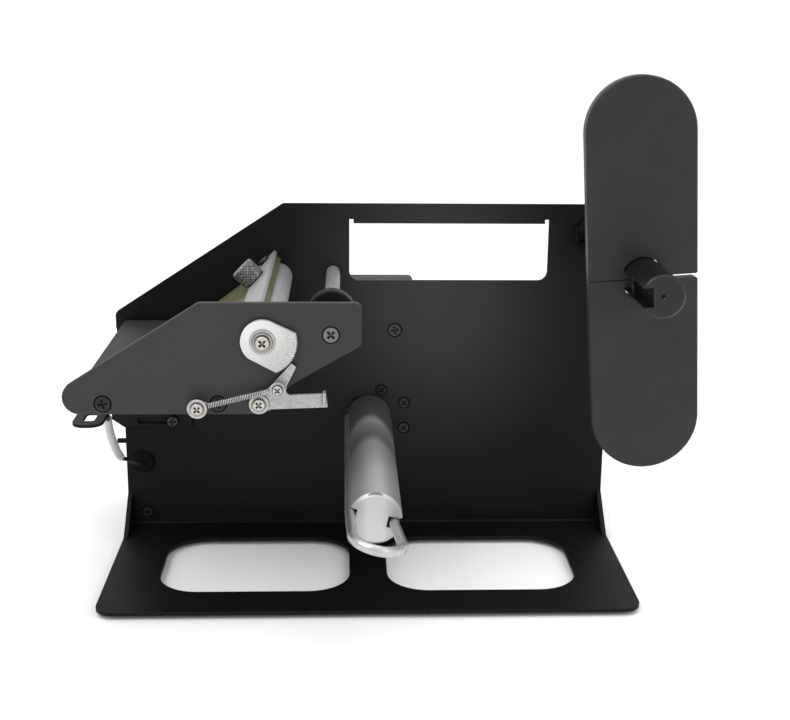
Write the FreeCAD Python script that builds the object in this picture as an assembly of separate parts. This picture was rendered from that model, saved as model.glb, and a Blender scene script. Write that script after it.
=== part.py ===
import FreeCAD, Part
import math
import os

# Label dispenser: a bent steel sheet makes the base and the back plate. A front side plate, a
# peel table, a guide rod and a brake bar stand in front of the back plate, with a driven waste
# spindle below them and a fixed roll spindle with a sliding flange to the right. The gearmotor
# and the control board sit in a cover behind the plate.
# Millimetres. X runs to the right, Y away from the working side, Z up. The origin is under the
# middle of the base, on the surface that the machine stands on. Places on the machine are given
# as x, as a distance in front of the back plate's face, and as a height above the base's top.

V = FreeCAD.Vector
X_AXIS, Y_AXIS, Z_AXIS = V(1, 0, 0), V(0, 1, 0), V(0, 0, 1)
FRONT = V(0, -1, 0)
BACK = V(0, 1, 0)

# Clearances and the overrun of every cut
SCREW_FIT = 0.05
RUNNING_FIT = 0.06
SLIDE_FIT = 0.15
GAP = 0.3
OVERRUN = 2.0
SEAM = 1e-6

# Bent sheet: base and back plate
SHEET = 2.0
BEND_RADIUS = 1.5
BASE_WIDTH = 285.0
BASE_DEPTH = 120.8
BASE_CORNER_RADIUS = 9.0
PLATE_HEIGHT = 194.0
PLATE_CORNER_RADIUS = 5.0
SLOPE_TOP_X = -47.9
SLOPE_TOP_RADIUS = 3.0
NOSE_OVERHANG = 2.6
NOSE_RISE = 4.5
NOSE_DROP = 4.0
NOSE_FOOT_DROP = 20.0
NOSE_RADIUS = 4.0
TAB_REACH = 5.0
TAB_LOW, TAB_TOP = 51.0, 53.5

# Oblong holes in the base
BASE_HOLE_INNER_X = 10.4
BASE_HOLE_MARGIN = 28.5
BASE_HOLE_FRONT_MARGIN = 24.2
BASE_HOLE_FAR = 23.6
BASE_HOLE_RADIUS = 22.2

# Hand opening in the back plate, its relief notches and its folded lip
HAND_LEFT_X = -10.2
HAND_RIGHT_MARGIN = 38.0
HAND_TOP_MARGIN = 11.3
HAND_HEIGHT = 33.2
HAND_RADIUS = 5.5
HAND_NOTCH = 2.4
HAND_LIP_DEPTH = 12.0

# Gussets between the base and the back plate
GUSSET_THICKNESS = 2.5
GUSSET_HEIGHT = 20.0
GUSSET_DEPTH = 23.0

# Rubber feet
FOOT_RADIUS = 7.0
FOOT_HEIGHT = 2.5
FOOT_INSET = 14.0
FOOT_REAR_INSET = 13.0

# Screws: head radius, shank radius, length of the shank under the surface
M4_HEAD, M4_SHANK, M4_LENGTH = 3.65, 2.0, 10.0
M3_HEAD, M3_SHANK, M3_LENGTH = 3.0, 1.5, 7.0
COUNTERSINK_RIM = 0.8
PAN_HEIGHT = 2.4
PAN_ROUNDING = 0.9
DRIVE_WIDTH_SHARE = 0.33
DRIVE_REACH_SHARE = 0.62
DRIVE_DEPTH_SHARE = 0.4
DRIVE_TURN = 45.0
DRIVE_SLIGHT_TURN = 12.0
CONE_DEPTH_SHARE = 0.64

# Front side plate
FRONT_FACE = 150.0
FRONT_THICKNESS = 3.0
FRONT_LOW_MARGIN = 5.8
FRONT_TOP_MARGIN = 17.8
FRONT_NOSE_OVERHANG = 22.5
FRONT_NOSE_RADIUS = 8.1
FRONT_SLOPE_X = -80.6
FRONT_SLOPE_RADIUS = 5.0
FRONT_RIGHT_X = -5.3
FRONT_RIGHT_DROP = 2.6
FRONT_MIDDLE_X, FRONT_MIDDLE_DROP = -38.0, 21.6
FRONT_FOOT_X = -54.0
FRONT_RADIUS = 3.0
FRONT_WIDE_RADIUS = 8.0
FRONT_EDGE = 0.4

# Peel table between the plates
TABLE_MARGIN = 3.0
TABLE_RIGHT_X = -63.5
TABLE_TOP = 126.0
TABLE_THICKNESS = 10.0
TABLE_LIP = 0.8
TABLE_BEVEL = 10.0
TABLE_SKIN = 4.0
TABLE_RIB = 8.0
TABLE_SCREW_LEFT_INSET, TABLE_SCREW_RIGHT_INSET = 13.1, 9.0
TABLE_SCREW_DROP = 5.0
TABLE_RIM = 8.0

# Guide rod and its collar
ROD_X, ROD_RISE = -19.5, 28.3
ROD_RADIUS = 4.0
COLLAR_FACE = 107.5
COLLAR_RADIUS = 12.0
COLLAR_WIDTH = 8.0
COLLAR_CHAMFER = 0.7
GRUB_RADIUS = 1.5
GRUB_LENGTH = 5.0
GRUB_SOCKET = 0.8

# Brake bar, its wiper blade and clamp plate; n is the way out of the flat, t along the flat
BAR_X, BAR_RISE = -51.1, 25.8
BAR_RADIUS = 8.2
BAR_FLAT = 6.5
BAR_TURN = 135.0
BAR_END_GAP = 1.5
BAR_JOURNAL = 4.0
BLADE_THICKNESS = 4.0
BLADE_CLAMPED_LOW_T = -6.0
BLADE_CLAMPED_TOP_T = 9.0
BLADE_TIP_OFFSET = 43.4
BLADE_END_GAP = 4.0
CLAMP_THICKNESS = 2.0
CLAMP_TOP_T = 10.3
CLAMP_SCREW_T = 2.6
CLAMP_SCREW_INSET = 12.0
CLAMP_SCREW_HEAD = 3.4
BUSH_FLANGE_RADIUS = 6.5
BUSH_FLANGE = 1.0
BUSH_WALL = 1.2
END_WASHER_RADIUS = 6.5
END_WASHER = 1.0
THUMB_FORWARD = 48.0
THUMB_T = -1.9
THUMB_RADIUS = 6.75
THUMB_HEIGHT = 10.2
THUMB_SHANK = 2.0
THUMB_SHANK_LENGTH = 8.0
THUMB_CHAMFER = 0.7

# Ratchet cam on the front end of the brake bar
CAM_BACK_GAP = 0.8
CAM_THICKNESS = 2.5
CAM_ROUND_RADIUS = 10.3
CAM_TOOTH_RADIUS = 16.3
CAM_TOOTH_DEPTH = 0.7
CAM_TEETH = 17
CAM_SECTOR_FROM, CAM_SECTOR_TO = -66.5, 13.5
CAM_UPPER_TANGENT, CAM_LOWER_TANGENT = 70.0, -130.0
CAM_SPIGOT = 3.0
CAM_SPIGOT_FLAT = 2.2
CAM_WASHER_RADIUS = 5.9
CAM_WASHER_STEP = 4.6
CAM_WASHER = 1.2
CAM_SCREW_HEAD = 3.3
CAM_SCREW_SHANK = 1.5
CAM_SCREW_LENGTH = 9.0

# Pawl with its release lever, pivot screw, spring and spring screws
PAWL_PIVOT_OFFSET, PAWL_PIVOT_DROP = 2.1, 30.1
PAWL_LIFT = 1.0
PAWL_THICKNESS = 1.5
PAWL_LIP = 3.2
PAWL_LIP_THICKNESS = 1.4
PAWL_LIP_RISE = 1.1
PAWL_BORE = 2.5
PAWL_PLAY = 0.25
PIVOT_THREAD = 2.0
HOOK_OFFSET, HOOK_RISE = 8.95, 8.0
ANCHOR_OFFSET, ANCHOR_DROP = 28.5, 1.1
NECK_RADIUS = 1.5
RIM_HEIGHT = 0.8
DOME_HEIGHT = 1.6
WIDE_HEAD, WIDE_DOME = 4.66, 2.9
HOOK_HEAD, HOOK_DOME = 3.7, 2.3
SPRING_AXIS = 5.4
SPRING_COIL_RADIUS = 1.35
SPRING_WIRE_RADIUS = 0.19
SPRING_TURNS = 36
SPRING_LOOP_RADIUS = 1.95
SPRING_HEAD_GAP = 0.45
# The pawl's corners as shares of its reach, its rise and its widest rounding, from the pivot
PAWL_REACH, PAWL_RISE, PAWL_ROUNDING = 32.2, 19.65, 3.6
PAWL_SHARES = (
    (-0.14, -0.193, 0.83), (0.084, -0.193, 0.56), (0.177, -0.132, 0.56), (1.0, -0.087, 0.11),
    (0.972, 0.254, 0.11), (0.382, 0.214, 0.56), (0.407, 0.453, 0.56), (0.547, 0.911, 0.11),
    (0.472, 1.0, 0.06), (0.174, 0.438, 0.83), (-0.14, 0.06, 0.83))

# Sensor bracket, sensor, its lead with a marker tube, and the grommet; margins are from the
# plate's left edge and drops from the table's top
SENSOR_SCREW_MARGIN, SENSOR_SCREW_DROP = 28.4, 60.7
SENSOR_SCREW_HEAD = 3.3
BRACKET_SLOT_LENGTH = 19.2
BRACKET_THICKNESS = 1.5
BRACKET_TOP_DROP = 21.0
BRACKET_FOOT_OVERHANG, BRACKET_FOOT_MARGIN = 7.3, 39.7
BRACKET_FOOT_DROP = 64.6
BRACKET_CUT_WIDTH, BRACKET_CUT_HEIGHT = 7.0, 4.9
BRACKET_RADIUS = 2.0
FINGER_OVERHANG = 3.5
FINGER_WIDTH = 15.0
FINGER_REACH = 132.4
FINGER_RADIUS = 6.5
FINGER_SLOT_INSET, FINGER_SLOT_WIDTH = 4.8, 5.6
FINGER_SLOT_NEAR, FINGER_SLOT_FAR = 125.5, 112.0
FINGER_SLOT_RADIUS = 1.5
SENSOR_WIDTH, SENSOR_LENGTH, SENSOR_HEIGHT = 13.0, 20.0, 6.0
SENSOR_BACK = 66.0
SENSOR_LENS_RADIUS = 2.0
SENSOR_LENS_RISE = 1.0
SENSOR_SCREW_PITCH = 12.0
LEAD_RADIUS = 1.2
# The lead's route as distance from the plate's left edge, distance in front and height
LEAD_ROUTE = (
    (4.0, 76.5, 98.5), (3.2, 71.0, 90.5), (0.9, 57.0, 79.0), (0.4, 44.0, 66.7),
    (0.6, 32.0, 56.0), (1.1, 22.0, 48.9), (2.1, 12.5, 45.6), (9.8, 7.8, 39.4), (9.8, -21.0, 39.4))
LEAD_BEND_SHARE = 0.45
MARKER_RADIUS = 2.35
MARKER_RUNS = 4
GROMMET_RADIUS = 6.5
GROMMET_NECK = 5.0
GROMMET_FRONT = 2.0
GROMMET_REAR_RADIUS = 5.9
GROMMET_REAR = 1.5

# Waste spindle on the gearmotor, with its wire bail
DRIVE_X, DRIVE_UP = 1.4, 67.8
MOTOR_OFFSET = 7.3
MOTOR_SCREW_CIRCLE = 15.5
GEARBOX_RADIUS = 18.5
GEARBOX_LENGTH = 24.0
GEARBOX_BOSS_RADIUS = 6.0
GEARBOX_TAP_DEPTH = 8.0
CAN_RADIUS = 17.0
CAN_LENGTH = 30.0
CAN_CAP_RADIUS = 6.0
CAN_CAP = 2.0
SHAFT_RADIUS = 3.0
SHAFT_FLAT = 2.4
SHAFT_REACH = 22.0
SHAFT_INSIDE = 14.0
WASTE_RADIUS = 12.9
WASTE_REAR_GAP = 1.5
WASTE_REACH = 162.8
WASTE_CHAMFER = 1.4
WASTE_GROOVE_WIDTH = 5.6
WASTE_RIGHT_FLOOR, WASTE_LEFT_FLOOR = 5.9, 9.4
WASTE_GROOVE_TURN = -13.0
WASTE_GRUB = 10.0
BAIL_WIRE = 2.5
BAIL_LEG_END = 14.0
BAIL_RIGHT_LEG, BAIL_LEFT_LEG = 9.2, 12.3
BAIL_NECK = 1.2
BAIL_NECK_RADIUS = 20.0
BAIL_LOOP = 37.2
BAIL_RIGHT_LOOP, BAIL_LEFT_LOOP = 13.9, 10.9
BAIL_BEND_SHARE = 0.475

# Roll spindle with its block and sliding flange
ROLL_MARGIN, ROLL_DROP = 12.5, 16.6
ROLL_RADIUS = 10.1
ROLL_REACH = 172.0
ROLL_BEHIND = 18.0
ROLL_CHAMFER = 0.8
ROLL_DIMPLE = 1.2
ROLL_GROOVE_WIDTH = 9.0
ROLL_GROOVE_DEPTH = 5.6
ROLL_GROOVE_STOP = 1.0
ROLL_TURN = -4.0
BLOCK_LEFT, BLOCK_RIGHT, BLOCK_HALF_HEIGHT, BLOCK_DEPTH = 18.0, 12.0, 13.4, 16.0
FLANGE_FACE = 131.0
FLANGE_THICKNESS = 8.0
FLANGE_WIDTH = 52.6
FLANGE_LENGTH = 191.4
FLANGE_CHAMFER = 0.8
FLANGE_SLIT = 2.2
FLANGE_SLIT_RADIUS = 1.2
FLANGE_SCORE = 0.5
FLANGE_KEY_GAP = 0.35
FLANGE_KEY_DEPTH = 4.4
FACING_SHARE = 0.99

# Rear cover with its posts, vents and controls
COVER_MARGIN, COVER_RIGHT_X = 1.5, 29.5
COVER_TOP_MARGIN = 9.0
COVER_SLOPE_INSET = 19.4
COVER_DEPTH = 60.0
COVER_WALL = 1.5
COVER_RADIUS = 3.0
COVER_POST = 4.5
COVER_LOW_POST = 3.6
COVER_SCREW_INSET, COVER_SCREW_DROP, COVER_SCREW_RISE = 13.2, 20.6, 7.1
COVER_LOW_SCREW_INSET = 9.4
VENT_COUNT = 4
VENT_PITCH = 7.0
VENT_WIDTH, VENT_LENGTH = 3.0, 26.0
VENT_X, VENT_DROP = 9.0, 40.5
SWITCH_X, SWITCH_DROP = -30.0, 32.5
SWITCH_WIDTH, SWITCH_HEIGHT, SWITCH_BODY = 13.0, 19.0, 14.0
SWITCH_RIM = 1.5
SWITCH_RIM_THICKNESS = 1.2
ROCKER_TILT = 8.0
ROCKER_CLEARANCE = 0.4
ROCKER_PIN = 1.0
KNOB_INSET, KNOB_DROP = 73.0, 32.5
KNOB_RADIUS, KNOB_HEIGHT = 9.0, 12.0
KNOB_RIBS = 18
KNOB_RIB_DEPTH = 0.5
KNOB_GAP = 1.0
POT_BODY_RADIUS, POT_BODY = 8.0, 9.0
POT_BUSH_RADIUS, POT_BUSH = 3.5, 3.5
POT_SHAFT_RADIUS, POT_SHAFT = 2.5, 9.0
KNOB_FLOOR = 3.0
JACK_INSET, JACK_DROP = 23.0, 48.5
JACK_RADIUS, JACK_BODY = 5.5, 12.0
JACK_RIM_RADIUS, JACK_RIM = 7.0, 2.0
JACK_BORE, JACK_BORE_DEPTH, JACK_PIN = 3.2, 9.5, 1.0
BOARD_MARGIN, BOARD_RIGHT_X = 4.5, -44.0
BOARD_LOW, BOARD_TOP = 18.0, 80.0
BOARD_THICKNESS = 1.6
BOARD_BEHIND = 34.0
BOARD_POST = 2.6
BOARD_INSET = 6.0
CHIP_SHARES = ((0.30, 0.35, 0.16, 0.22, 0.10), (0.62, 0.62, 0.22, 0.16, 0.08),
               (0.78, 0.24, 0.12, 0.20, 0.20), (0.42, 0.78, 0.10, 0.12, 0.24))
PLUG_WIDTH, PLUG_HEIGHT = 8.0, 12.0

# Places that follow from the sizes above
PLATE_Y = BASE_DEPTH / 2
BASE_TOP = FOOT_HEIGHT + SHEET
HALF_WIDTH = BASE_WIDTH / 2
BASE_HOLE_OUTER_X = HALF_WIDTH - BASE_HOLE_MARGIN
BASE_HOLE_NEAR = BASE_DEPTH - BASE_HOLE_FRONT_MARGIN
HAND_RIGHT_X = HALF_WIDTH - HAND_RIGHT_MARGIN
HAND_TOP = PLATE_HEIGHT - HAND_TOP_MARGIN
HAND_LOW = HAND_TOP - HAND_HEIGHT
FRONT_INNER = FRONT_FACE - FRONT_THICKNESS
NOSE_X, NOSE_TOP = -HALF_WIDTH - NOSE_OVERHANG, TABLE_TOP + NOSE_RISE
SLOPE = (PLATE_HEIGHT - NOSE_TOP) / (SLOPE_TOP_X - NOSE_X)
TABLE_LEFT_X = -HALF_WIDTH + TABLE_MARGIN
ROD_UP, BAR_UP = TABLE_TOP + ROD_RISE, TABLE_TOP + BAR_RISE
BLADE_TOP_N = BAR_FLAT + BLADE_THICKNESS
CLAMP_TOP_N = BLADE_TOP_N + CLAMP_THICKNESS
PAWL_PIVOT_X, PAWL_PIVOT_UP = BAR_X - PAWL_PIVOT_OFFSET, BAR_UP - PAWL_PIVOT_DROP
HOOK_X, HOOK_UP = PAWL_PIVOT_X + HOOK_OFFSET, PAWL_PIVOT_UP + HOOK_RISE
ANCHOR_X, ANCHOR_UP = PAWL_PIVOT_X - ANCHOR_OFFSET, PAWL_PIVOT_UP - ANCHOR_DROP
SENSOR_SCREW_X, SENSOR_SCREW_UP = -HALF_WIDTH + SENSOR_SCREW_MARGIN, TABLE_TOP - SENSOR_SCREW_DROP
BRACKET_TOP = TABLE_TOP - BRACKET_TOP_DROP
FINGER_LEFT_X = -HALF_WIDTH - FINGER_OVERHANG
FINGER_RIGHT_X = FINGER_LEFT_X + FINGER_WIDTH
FINGER_MIDDLE_X = (FINGER_LEFT_X + FINGER_RIGHT_X) / 2
GROMMET_X, GROMMET_UP = -HALF_WIDTH + LEAD_ROUTE[-1][0], LEAD_ROUTE[-1][2]
MOTOR_X = DRIVE_X + MOTOR_OFFSET
ROLL_X, ROLL_UP = HALF_WIDTH - ROLL_MARGIN, PLATE_HEIGHT - ROLL_DROP
COVER_LEFT_X, COVER_TOP = -HALF_WIDTH + COVER_MARGIN, HAND_LOW - COVER_TOP_MARGIN
COVER_BACK = SHEET + COVER_DEPTH
VENT_UP, SWITCH_UP = COVER_TOP - VENT_DROP, COVER_TOP - SWITCH_DROP
KNOB_X, KNOB_UP = COVER_LEFT_X + KNOB_INSET, COVER_TOP - KNOB_DROP
JACK_X, JACK_UP = COVER_LEFT_X + JACK_INSET, COVER_TOP - JACK_DROP
BOARD_LEFT_X = COVER_LEFT_X + BOARD_MARGIN


def at(x, forward, height):
    """A point from its x, its distance in front of the back plate and its height."""
    return V(x, PLATE_Y - forward, BASE_TOP + height)


def polar(degrees):
    """The direction in the XZ plane at an angle from +X towards +Z."""
    return V(math.cos(math.radians(degrees)), 0, math.sin(math.radians(degrees)))


def face_from(points, lift):
    """A face from (a, b, corner radius) points, lifted into space by a function."""
    flat = [(V(a, b, 0), r) for a, b, r in points]
    edges, corners = [], []
    for i, (p, r) in enumerate(flat):
        before, after = flat[i - 1][0], flat[(i + 1) % len(flat)][0]
        if r == 0:
            corners.append((p, None, p))
            continue
        to_before, to_after = (before - p).normalize(), (after - p).normalize()
        half = to_before.getAngle(to_after) / 2
        middle = (to_before + to_after).normalize()
        reach = r / math.tan(half)
        corners.append((p + to_before * reach, p + middle * (r / math.sin(half) - r),
                        p + to_after * reach))
    for i, (start, middle, end) in enumerate(corners):
        last = corners[i - 1][2]
        if not start.isEqual(last, SEAM):
            edges.append(Part.LineSegment(lift(last), lift(start)).toShape())
        if middle is not None:
            edges.append(Part.Arc(lift(start), lift(middle), lift(end)).toShape())
    return Part.Face(Part.Wire(edges))


def front_prism(points, near, far):
    """Extrudes an outline of (x, height, radius) between two distances in front of the plate."""
    face = face_from(points, lambda p: at(p.x, near, p.y))
    return face.extrude(BACK * (near - far))


def plan_prism(points, low, high):
    """Extrudes an outline of (x, forward, radius) between two heights."""
    face = face_from(points, lambda p: at(p.x, p.y, low))
    return face.extrude(Z_AXIS * (high - low))


def side_prism(points, left, right):
    """Extrudes an outline of (forward, height, radius) between two x values."""
    face = face_from(points, lambda p: at(left, p.x, p.y))
    return face.extrude(X_AXIS * (right - left))


def block(x0, x1, near, far, low, high):
    """A box between two x values, two distances in front of the plate and two heights."""
    corner = at(x0, near, low)
    return Part.makeBox(x1 - x0, near - far, high - low, corner)


def rectangle(x0, x1, low, high, radius):
    """The four corner points of an upright rectangle with one corner radius."""
    return ((x0, low, radius), (x1, low, radius), (x1, high, radius), (x0, high, radius))


def rod(x, height, radius, near, far):
    """A round bar along Y between two distances in front of the plate."""
    return Part.makeCylinder(radius, near - far, at(x, near, height), BACK)


def along(point, direction, radius, length):
    """A round bar from a point in a direction."""
    return Part.makeCylinder(radius, length, point, direction)


def placed(shape, point, direction):
    """Moves a shape made on +Z to a point, with its +Z turned to a direction."""
    result = shape.copy()
    result.Placement = FreeCAD.Placement(point, FreeCAD.Rotation(Z_AXIS, direction))
    return result


def joined(shapes):
    """One solid from shapes that touch or overlap."""
    result = shapes[0]
    for shape in shapes[1:]:
        result = result.fuse(shape)
    return result.removeSplitter()


def without(shape, cutters):
    """The shape with each cutter taken away."""
    for cutter in cutters:
        shape = shape.cut(cutter)
    return shape


def cross_recess(radius, top, depth, turn):
    """The cross cut for a screwdriver, from a height downwards, turned about the screw."""
    reach, width = radius * DRIVE_REACH_SHARE, radius * DRIVE_WIDTH_SHARE
    arm = Part.makeBox(reach * 2, width, depth, V(-reach, -width / 2, top - depth))
    other = arm.copy()
    other.rotate(V(), Z_AXIS, 90)
    cross = arm.fuse(other)
    cross.rotate(V(), Z_AXIS, turn)
    return cross


def countersunk_screw(point, outward, head, shank, length, turn=0):
    """A countersunk screw whose head is flush with the surface at the point."""
    cone = head - shank
    body = Part.makeCone(shank, head, cone, V(0, 0, -cone))
    body = body.fuse(Part.makeCylinder(shank, length - cone, V(0, 0, -length))).removeSplitter()
    body = body.cut(cross_recess(head, 0, cone * CONE_DEPTH_SHARE, turn))
    return placed(body, point, outward)


def countersunk_hole(point, outward, head, shank, depth):
    """The cut for a countersunk screw, with a plain rim at the surface."""
    rim = head + COUNTERSINK_RIM
    cone = rim - shank - SCREW_FIT
    cut = Part.makeCone(shank + SCREW_FIT, rim, cone, V(0, 0, -cone))
    cut = cut.fuse(Part.makeCylinder(rim, OVERRUN))
    cut = cut.fuse(Part.makeCylinder(shank + SCREW_FIT, depth, V(0, 0, -depth)))
    return placed(cut, point, outward)


def pan_screw(point, outward, head, height, shank, length, turn=0):
    """A pan head screw whose head sits on the surface at the point."""
    top = Part.makeCylinder(head, height)
    rim = [edge for edge in top.Edges if edge.Closed and edge.CenterOfMass.z > height / 2]
    top = top.makeFillet(min(PAN_ROUNDING, height / 2), rim)
    body = top.fuse(Part.makeCylinder(shank, length, V(0, 0, -length))).removeSplitter()
    body = body.cut(cross_recess(head, height, height * DRIVE_DEPTH_SHARE, turn))
    return placed(body, point, outward)


def grub_screw(point, outward, radius, length):
    """A headless screw with a hexagon socket, its outer end at the point."""
    body = Part.makeCylinder(radius, length, V(0, 0, -length))
    corners = [polar(60 * i) * GRUB_SOCKET for i in range(6)]
    ring = Part.makePolygon([V(c.x, c.z, 0) for c in corners + corners[:1]])
    socket = Part.Face(ring).extrude(V(0, 0, -length / 2))
    return placed(body.cut(socket), point, outward)


def rimmed_screw(x, height, seat, head, dome, shank, length):
    """A screw on the front side whose low round rim carries a smaller domed head."""
    rim = rod(x, height, head, seat + RIM_HEIGHT, seat)
    screw = pan_screw(at(x, seat + RIM_HEIGHT, height), FRONT, dome, DOME_HEIGHT, shank,
                      RIM_HEIGHT + length, DRIVE_TURN)
    return joined([rim, screw])


def ribbed_disc(radius, height, ribs, depth, chamfer):
    """A knurled disc on +Z with straight ribs and chamfered rims."""
    disc = Part.makeCylinder(radius, height)
    disc = disc.makeChamfer(chamfer, [edge for edge in disc.Edges if edge.Closed])
    step = 360 / ribs
    for i in range(ribs):
        way = V(math.cos(math.radians(i * step)), math.sin(math.radians(i * step)), 0)
        disc = disc.cut(Part.makeCylinder(depth, height, way * radius))
    return disc


# Base and back plate

def handle_points():
    """The corners of the hand opening: rounded below, square above."""
    return ((HAND_LEFT_X, HAND_LOW, HAND_RADIUS), (HAND_RIGHT_X, HAND_LOW, HAND_RADIUS),
            (HAND_RIGHT_X, HAND_TOP, 0), (HAND_LEFT_X, HAND_TOP, 0))


def motor_screw_places():
    """The six screws around the gearmotor's middle, one of them straight up."""
    for i in range(6):
        way = polar(90 + 60 * i) * MOTOR_SCREW_CIRCLE
        yield MOTOR_X + way.x, DRIVE_UP + way.z


def frame_sheet():
    outer = BEND_RADIUS + SHEET
    profile = ((BASE_DEPTH, -SHEET, 0), (-SHEET, -SHEET, outer), (-SHEET, PLATE_HEIGHT, 0),
               (0, PLATE_HEIGHT, 0), (0, 0, BEND_RADIUS), (BASE_DEPTH, 0, 0))
    span = HALF_WIDTH + max(NOSE_OVERHANG, TAB_REACH)
    sheet = side_prism(profile, -span, span)
    tab_x = -HALF_WIDTH - TAB_REACH
    outline = ((-HALF_WIDTH, -SHEET, 0), (HALF_WIDTH, -SHEET, 0),
               (HALF_WIDTH, PLATE_HEIGHT, PLATE_CORNER_RADIUS),
               (SLOPE_TOP_X, PLATE_HEIGHT, SLOPE_TOP_RADIUS), (NOSE_X, NOSE_TOP, NOSE_RADIUS),
               (NOSE_X, TABLE_TOP - NOSE_DROP, NOSE_RADIUS),
               (-HALF_WIDTH, TABLE_TOP - NOSE_FOOT_DROP, NOSE_RADIUS), (-HALF_WIDTH, TAB_TOP, 0),
               (tab_x, TAB_TOP, 0), (tab_x, TAB_LOW, 0), (-HALF_WIDTH, TAB_LOW, 0))
    sheet = sheet.common(front_prism(outline, BASE_DEPTH + OVERRUN, -SHEET - OVERRUN))
    corners = ((-span, BASE_DEPTH, 0), (span, BASE_DEPTH, 0), (span, -SHEET - OVERRUN, 0),
               (-span, -SHEET - OVERRUN, 0))
    rounded = ((-HALF_WIDTH, BASE_DEPTH, BASE_CORNER_RADIUS),
               (HALF_WIDTH, BASE_DEPTH, BASE_CORNER_RADIUS), (HALF_WIDTH, 0, 0),
               (-HALF_WIDTH, 0, 0))
    low_front = plan_prism(corners, 0, PLATE_HEIGHT + OVERRUN)
    sheet = sheet.common(joined([plan_prism(rounded, -SHEET, OVERRUN), low_front,
                                 block(-span, span, 0, -SHEET - OVERRUN, -SHEET, OVERRUN)]))
    near, far = OVERRUN, -SHEET - OVERRUN
    cuts = [front_prism(handle_points(), near, far)]
    for x in (HAND_LEFT_X, HAND_RIGHT_X - HAND_NOTCH):
        cuts.append(block(x, x + HAND_NOTCH, near, far, HAND_TOP - OVERRUN, HAND_TOP + HAND_NOTCH))
    for side in (-1, 1):
        inner, outer_x = side * BASE_HOLE_INNER_X, side * BASE_HOLE_OUTER_X
        hole = tuple((x, forward, BASE_HOLE_RADIUS) for x, forward in (
            (inner, BASE_HOLE_NEAR), (outer_x, BASE_HOLE_NEAR),
            (outer_x, BASE_HOLE_FAR), (inner, BASE_HOLE_FAR)))
        cuts.append(plan_prism(hole, -SHEET - OVERRUN, OVERRUN))
    for x, height in cover_high_places():
        cuts.append(countersunk_hole(at(x, 0, height), FRONT, M4_HEAD, M4_SHANK, SHEET + OVERRUN))
    for x, height in cover_low_places() + tuple(motor_screw_places()):
        cuts.append(countersunk_hole(at(x, 0, height), FRONT, M3_HEAD, M3_SHANK, SHEET + OVERRUN))
    for x, height in plate_screw_places():
        cuts.append(countersunk_hole(at(x, -SHEET, height), BACK, M4_HEAD, M4_SHANK,
                                     SHEET + OVERRUN))
    cuts.append(rod(DRIVE_X, DRIVE_UP, GEARBOX_BOSS_RADIUS + SLIDE_FIT, near, far))
    cuts.append(rod(SENSOR_SCREW_X, SENSOR_SCREW_UP, M3_SHANK + SCREW_FIT, near, far))
    cuts.append(rod(GROMMET_X, GROMMET_UP, GROMMET_NECK, near, far))
    cuts.append(rod(BAR_X, BAR_UP, BAR_JOURNAL + BUSH_WALL, near, far))
    cuts.append(rod(ROLL_X, ROLL_UP, ROLL_RADIUS + SCREW_FIT, near, far))
    sheet = without(sheet, cuts)
    lip = block(HAND_LEFT_X + HAND_NOTCH, HAND_RIGHT_X - HAND_NOTCH, -SHEET,
                -SHEET - HAND_LIP_DEPTH, HAND_TOP, HAND_TOP + SHEET)
    return joined([sheet, lip])


def corner_gussets():
    pieces = []
    for left in (-HALF_WIDTH, HALF_WIDTH - GUSSET_THICKNESS):
        points = ((0, BEND_RADIUS, 0), (0, GUSSET_HEIGHT, 0), (GUSSET_DEPTH, 0, 0),
                  (BEND_RADIUS, 0, 0))
        pieces.append(side_prism(points, left, left + GUSSET_THICKNESS))
    return Part.makeCompound(pieces)


def rubber_feet():
    front = BASE_DEPTH - FOOT_INSET
    rear = -COVER_BACK + FOOT_REAR_INSET
    side = HALF_WIDTH - FOOT_INSET
    places = ((-side, front), (side, front), (0, BASE_DEPTH / 2), (-side, FOOT_INSET),
              (side, FOOT_INSET), (-side, rear), (COVER_RIGHT_X - FOOT_REAR_INSET, rear))
    return Part.makeCompound([Part.makeCylinder(FOOT_RADIUS, FOOT_HEIGHT,
                                                at(x, forward, -SHEET - FOOT_HEIGHT))
                              for x, forward in places])


def plate_screw_places():
    """Screws through both plates into the table and the guide rod."""
    height = TABLE_TOP - TABLE_SCREW_DROP
    return ((TABLE_LEFT_X + TABLE_SCREW_LEFT_INSET, height),
            (TABLE_RIGHT_X - TABLE_SCREW_RIGHT_INSET, height), (ROD_X, ROD_UP))


# Front plate, table and guide rod

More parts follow.
